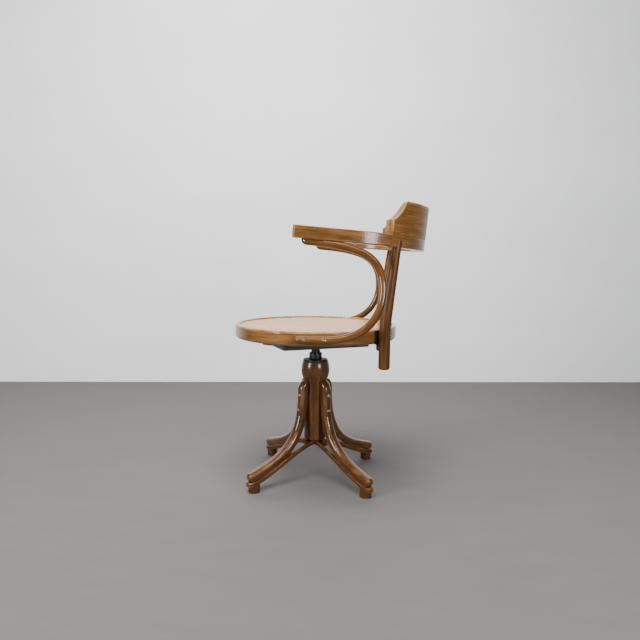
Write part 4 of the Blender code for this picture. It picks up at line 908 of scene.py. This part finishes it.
crest_wood = lacquered_wood("crest_wood", CREST_PALE, CREST_DEEP, shift=73.0, polish=0.40, wear=0.8, coat=0.25,
                            gloss=0.30)
show(shape, "crest", crest_wood, "seat", CREST_SHARP)

# Rear posts
# Two turned beech posts run from below the seat up into the back rail, thinner at the top. A near-black
# spacer lies between each one and the seat ring, and a screw from inside holds all three.
POST_RADIUS = 0.0148
POST_TOP_RADIUS = 0.0110
POST_ANGLE = 40.0
POST_TOP_Y = 0.2165
POST_DROP = 0.0632
POST_BEND_RISE = 0.0150
POST_BEND_REACH = 0.0300
POST_END_ROUND = 0.0055
POST_END_START = 8.0
POST_END_STEPS = 5
POST_BEND_STEPS = 12
POST_STEPS = 12
POST_LAP = 0.6
SPACER_MIDDLE_RISE = 0.0180
ROD_STEPS = 28
SPACER_THICK = 0.0054
POST_SCREW = (0.0060, 0.0030)
POST_SCREW_TURN = 15.0
POST_PALE = (0.170, 0.066, 0.014, 1.0)
POST_DEEP = (0.060, 0.021, 0.005, 1.0)
SPACER_TONE = (0.020, 0.013, 0.010, 1.0)
SPACER_DEEP = (0.008, 0.006, 0.005, 1.0)


def round_section(radius, steps=ROD_STEPS):
    """A round section as (x, y, wear)."""
    return [(*around(360.0 * step / steps, radius).to_2d(), 0.0) for step in range(steps)]


def rod(points, shares, radius):
    """A round rod along a path. shares scales its radius at each point."""
    places = stations_on(points, around(0.0, 1.0))
    places = [place @ Matrix.Diagonal((share, share, 1.0, 1.0)) for place, share in zip(places, shares)]
    return swept(round_section(radius), places)


spacer_radius = SEAT_RADIUS + SEAT_GAP
post_reach = spacer_radius + SPACER_THICK + SEAT_GAP + POST_RADIUS
spacer_wood = lacquered_wood("spacer_wood", SPACER_TONE, SPACER_DEEP, axis=2, shift=79.0, polish=0.50,
                             coat=0.30)
for name, side in (("left", 1), ("right", -1)):
    foot = from_back(side * POST_ANGLE, post_reach, RIM_Z - POST_DROP, 0.0)
    top = rail_place @ Matrix.Translation((0.0, 0.0, -RAIL_HEIGHT)) @ Vector((foot.x, POST_TOP_Y, 0.0))
    bend = Vector((foot.x, foot.y, SEAT_TOP_Z + POST_BEND_RISE))
    up = (top - bend).normalized()
    points = []
    shares = []
    for step in range(POST_END_STEPS + 1):
        angle = math.radians(POST_END_START + (90.0 - POST_END_START) * step / POST_END_STEPS)
        points.append(foot + Vector((0.0, 0.0, POST_END_ROUND * (1 - math.cos(angle)))))
        shares.append(1 - POST_END_ROUND / POST_RADIUS * (1 - math.sin(angle)))
    reach = Vector((0.0, 0.0, POST_BEND_REACH))
    bend_line = bezier(bend - reach, reach / 2, -up * POST_BEND_REACH / 2, bend + up * POST_BEND_REACH,
                       POST_BEND_STEPS)
    points += bend_line
    shares += [1.0] * len(bend_line)
    rest = top + up * RAIL_HEIGHT * POST_LAP - bend_line[-1]
    for step in range(1, POST_STEPS + 1):
        share = step / POST_STEPS
        points.append(bend_line[-1] + rest * share)
        shares.append(1 + (POST_TOP_RADIUS / POST_RADIUS - 1) * share)
    wood = lacquered_wood(f"post_{name}_wood", POST_PALE, POST_DEEP, shift=83.0 + side, polish=0.50, coat=0.30,
                          gloss=0.20)
    show(rod(points, shares, POST_RADIUS), "post_" + name, wood, "seat")
    paint(spacer_wood, "post_spacer_" + name)
    inside = from_back(side * POST_ANGLE, inner + HEAD_SINK, RIM_Z + SPACER_MIDDLE_RISE, 0.0)
    place = aimed(inside, -from_back(side * POST_ANGLE, 1.0, 0.0, 0.0), POST_SCREW_TURN)
    show_screw("post_screw_" + name, place, POST_SCREW, enamel, "seat")

# Arm supports
# One bent beech rod on each side, from under the arm back in a wide bow and down to the side of the
# seat ring. Two sunk screws hold it to the ring and one, from below, to the arm.
SUPPORT_RADIUS = 0.0098
SUPPORT_FLAT = 0.0046
SUPPORT_UPPER_Y = -0.0050
SUPPORT_UPPER_PULL = 0.1270
SUPPORT_BACK_Y = 0.1801
SUPPORT_BACK_RISE = 0.1030
SUPPORT_BACK_UP_PULL = 0.0870
SUPPORT_BACK_DOWN_PULL = 0.0327
SUPPORT_LOWER_PULL = 0.1268
SUPPORT_LOWER_TURN_Y = 0.0389
SUPPORT_LOWER_Y = -0.0320
SUPPORT_UPPER_X = 0.2070
SUPPORT_TIP = ((0.12, 0.0122), (0.50, 0.0110), (0.78, 0.0085), (0.94, 0.0050))
SUPPORT_SCREWS = ((1, -0.0075), (2, 0.0420))
SUPPORT_RAIL_SCREW_Y = 0.0180
SUPPORT_RISE = 0.0180
SUPPORT_STEPS = 44
SUPPORT_FRONT_STEPS = 6
SUPPORT_END_STEPS = 7
SUPPORT_SCREW_TURN = 40.0
ARM_SCREW_TURN = 70.0
SUPPORT_SCREW = (0.0045, 0.0018)
# The rods' tones are the rail's beech made darker: painted shade under the arms.
SUPPORT_SHADED_PALE = (0.240, 0.100, 0.022, 1.0)
SUPPORT_SHADED_DEEP = (0.080, 0.029, 0.006, 1.0)
stand_off = SEAT_GAP + SUPPORT_RADIUS - SUPPORT_FLAT
slope = math.radians(RAIL_TILT)
upper_z = RAIL_TOP_Z - (RAIL_HEIGHT + stand_off) / math.cos(slope) - SUPPORT_UPPER_Y * math.tan(slope)
lower_z = RIM_Z + SUPPORT_RISE
lower_x = SEAT_RADIUS + stand_off
back = (SUPPORT_BACK_Y, SEAT_TOP_Z + SUPPORT_BACK_RISE)
path = bezier((SUPPORT_UPPER_Y, upper_z),
              (SUPPORT_UPPER_PULL * math.cos(slope), -SUPPORT_UPPER_PULL * math.sin(slope)),
              (0.0, SUPPORT_BACK_UP_PULL), back, SUPPORT_STEPS)
path += bezier(back, (0.0, -SUPPORT_BACK_DOWN_PULL), (SUPPORT_LOWER_PULL, 0.0),
               (SUPPORT_LOWER_TURN_Y, lower_z), SUPPORT_STEPS)[1:]
end_start = SUPPORT_LOWER_Y + SUPPORT_RADIUS
front_run = end_start - SUPPORT_LOWER_TURN_Y
path += [Vector((SUPPORT_LOWER_TURN_Y + front_run * step / SUPPORT_FRONT_STEPS, lower_z))
         for step in range(1, SUPPORT_FRONT_STEPS + 1)]
ahead = (path[0] - path[1]).normalized()
rise = Vector((-ahead.y, ahead.x)) * -SUPPORT_RADIUS
tips = [path[0] + ahead * reach + rise * (1 - share) for share, reach in SUPPORT_TIP]
shares = [share for share, _ in SUPPORT_TIP] + [1.0] * len(path)
path = tips + path
for step in range(1, SUPPORT_END_STEPS + 1):
    angle = math.radians(ROUND_END_ANGLE * step / SUPPORT_END_STEPS)
    path.append(Vector((end_start - SUPPORT_RADIUS * math.sin(angle), lower_z)))
    shares.append(math.cos(angle))
for name, side in (("left", 1), ("right", -1)):
    points = []
    for point in path:
        share = min(max((point.y - lower_z) / (upper_z - lower_z), 0.0), 1.0)
        points.append(Vector((side * (lower_x + (SUPPORT_UPPER_X - lower_x) * share), point.x, point.y)))
    wood = lacquered_wood(f"support_{name}_wood", SUPPORT_SHADED_PALE, SUPPORT_SHADED_DEEP, shift=89.0 + side, gloss=0.80)
    show(rod(points, shares, SUPPORT_RADIUS), "arm_support_" + name, wood, "seat")
    face_x = lower_x + SUPPORT_RADIUS - HEAD_SINK
    for number, place_y in SUPPORT_SCREWS:
        place = aimed((side * face_x, place_y, lower_z), (side, 0.0, 0.0), SUPPORT_SCREW_TURN * number)
        show_screw(f"support_screw_{name}_{number}", place, SUPPORT_SCREW, zinc, "seat")
    drop = RAIL_HEIGHT + stand_off + SUPPORT_RADIUS - HEAD_SINK
    point = rail_place @ Vector((side * SUPPORT_UPPER_X, SUPPORT_RAIL_SCREW_Y, -drop))
    place = aimed(point, rail_place.to_3x3() @ Vector((0.0, 0.0, -1.0)), ARM_SCREW_TURN)
    show_screw("arm_screw_" + name, place, SUPPORT_SCREW, zinc, "seat")

# Floor, wall, lights and camera
# A plain floor meets a plain pale wall behind the chair. Two soft windows stand either side of the
# camera, a wide soft light hangs above, and a long thin one draws the highlights along legs and arms.
FLOOR_TONE = (0.132, 0.121, 0.114, 1.0)
WALL_TONE = (0.960, 0.970, 0.985, 1.0)
WALL_X = -1.29
WALL_TURN = 7.3
STAGE_HALF = 6.0
WORLD_TONE = (0.90, 0.94, 1.00, 1.0)
WORLD_STRENGTH = 0.21
LIGHTS = (("window_left", (1.75, -1.85, 0.80), (0.0, 0.0, 0.45), 0.40, 0.80, 40.0, True),
          ("window_right", (1.80, 1.35, 0.72), (0.0, 0.0, 0.55), 0.58, 0.55, 26.0, True),
          ("overhead", (0.60, -0.30, 2.60), (0.0, 0.0, 0.40), 1.40, 1.40, 120.0, False),
          ("strip", (1.25, 0.10, 2.00), (0.0, 0.0, 0.30), 2.80, 0.10, 22.0, True))
CAMERA_PLACE = (1.5690, 0.0969, 0.6034)
CAMERA_HEADING = (-0.9968, -0.0799)
CAMERA_PITCH = 5.64
CAMERA_ROLL = 0.616
CAMERA_LENS = 31.5
SENSOR_WIDTH = 36.0
STAGE_ROUGHNESS = 0.75
MOTTLE_STRETCH = 3
MOTTLE_DETAIL = 4.0
MOTTLE_SHADE = 0.94
MOTTLE_RAMP = (0.35, 0.65)


def plain_surface(name, tone, grain_size):
    """A matt surface with a faint mottle."""
    material, tree, shader = new_material(name)
    shader.inputs["Roughness"].default_value = STAGE_ROUGHNESS
    place = add_node(tree, "TexCoord").outputs["Object"]
    mottle = stretched_noise(tree, place, 0.0, (0.0, grain_size * MOTTLE_STRETCH, grain_size, MOTTLE_DETAIL), 1)
    darker = tuple(part * MOTTLE_SHADE for part in tone[:3]) + (1.0,)
    tree.links.new(ramp_between(tree, mottle, *MOTTLE_RAMP, darker, tone), shader.inputs["Base Color"])
    return material


def stage_sheet(name, place, material):
    """A large flat sheet that belongs to the stage."""
    shape = bmesh.new()
    bmesh.ops.create_grid(shape, x_segments=1, y_segments=1, size=STAGE_HALF, matrix=place)
    made(shape, name, material)


stage_sheet("floor", Matrix.Identity(4), plain_surface("floor_tone", FLOOR_TONE, 0.05))
wall_turn = Matrix.Rotation(math.radians(WALL_TURN), 4, "Z") @ Matrix.Rotation(math.pi / 2, 4, "Y")
wall_place = Matrix.Translation((WALL_X, 0.0, STAGE_HALF)) @ wall_turn
stage_sheet("wall", wall_place, plain_surface("wall_tone", WALL_TONE, 0.30))
for name, place, target, width, height, power, mirrored in LIGHTS:
    light = bpy.data.lights.new(name, "AREA")
    light.shape = "RECTANGLE"
    light.size = width
    light.size_y = height
    light.energy = power
    lamp = bpy.data.objects.new(name, light)
    lamp.visible_glossy = mirrored
    aim = (Vector(target) - Vector(place)).to_track_quat("-Z", "Y").to_matrix().to_4x4()
    lamp.matrix_world = Matrix.Translation(place) @ aim
    bpy.context.scene.collection.objects.link(lamp)
world = bpy.data.worlds.new("studio")
world.use_nodes = True
world.node_tree.nodes["Background"].inputs["Color"].default_value = WORLD_TONE
world.node_tree.nodes["Background"].inputs["Strength"].default_value = WORLD_STRENGTH
bpy.context.scene.world = world

pitch = math.radians(CAMERA_PITCH)
roll = math.radians(CAMERA_ROLL)
heading = Vector(CAMERA_HEADING).normalized()
ahead = Vector((heading.x * math.cos(pitch), heading.y * math.cos(pitch), -math.sin(pitch)))
level = ahead.cross(Vector((0.0, 0.0, 1.0))).normalized()
upward = level.cross(ahead)
right = level * math.cos(roll) + upward * math.sin(roll)
upward = upward * math.cos(roll) - level * math.sin(roll)
lens = bpy.data.cameras.new("camera")
lens.lens = CAMERA_LENS
lens.sensor_width = SENSOR_WIDTH
camera = bpy.data.objects.new("camera", lens)
camera.matrix_world = Matrix.Translation(CAMERA_PLACE) @ Matrix((right, upward, -ahead)).transposed().to_4x4()
bpy.context.scene.collection.objects.link(camera)
bpy.context.scene.camera = camera
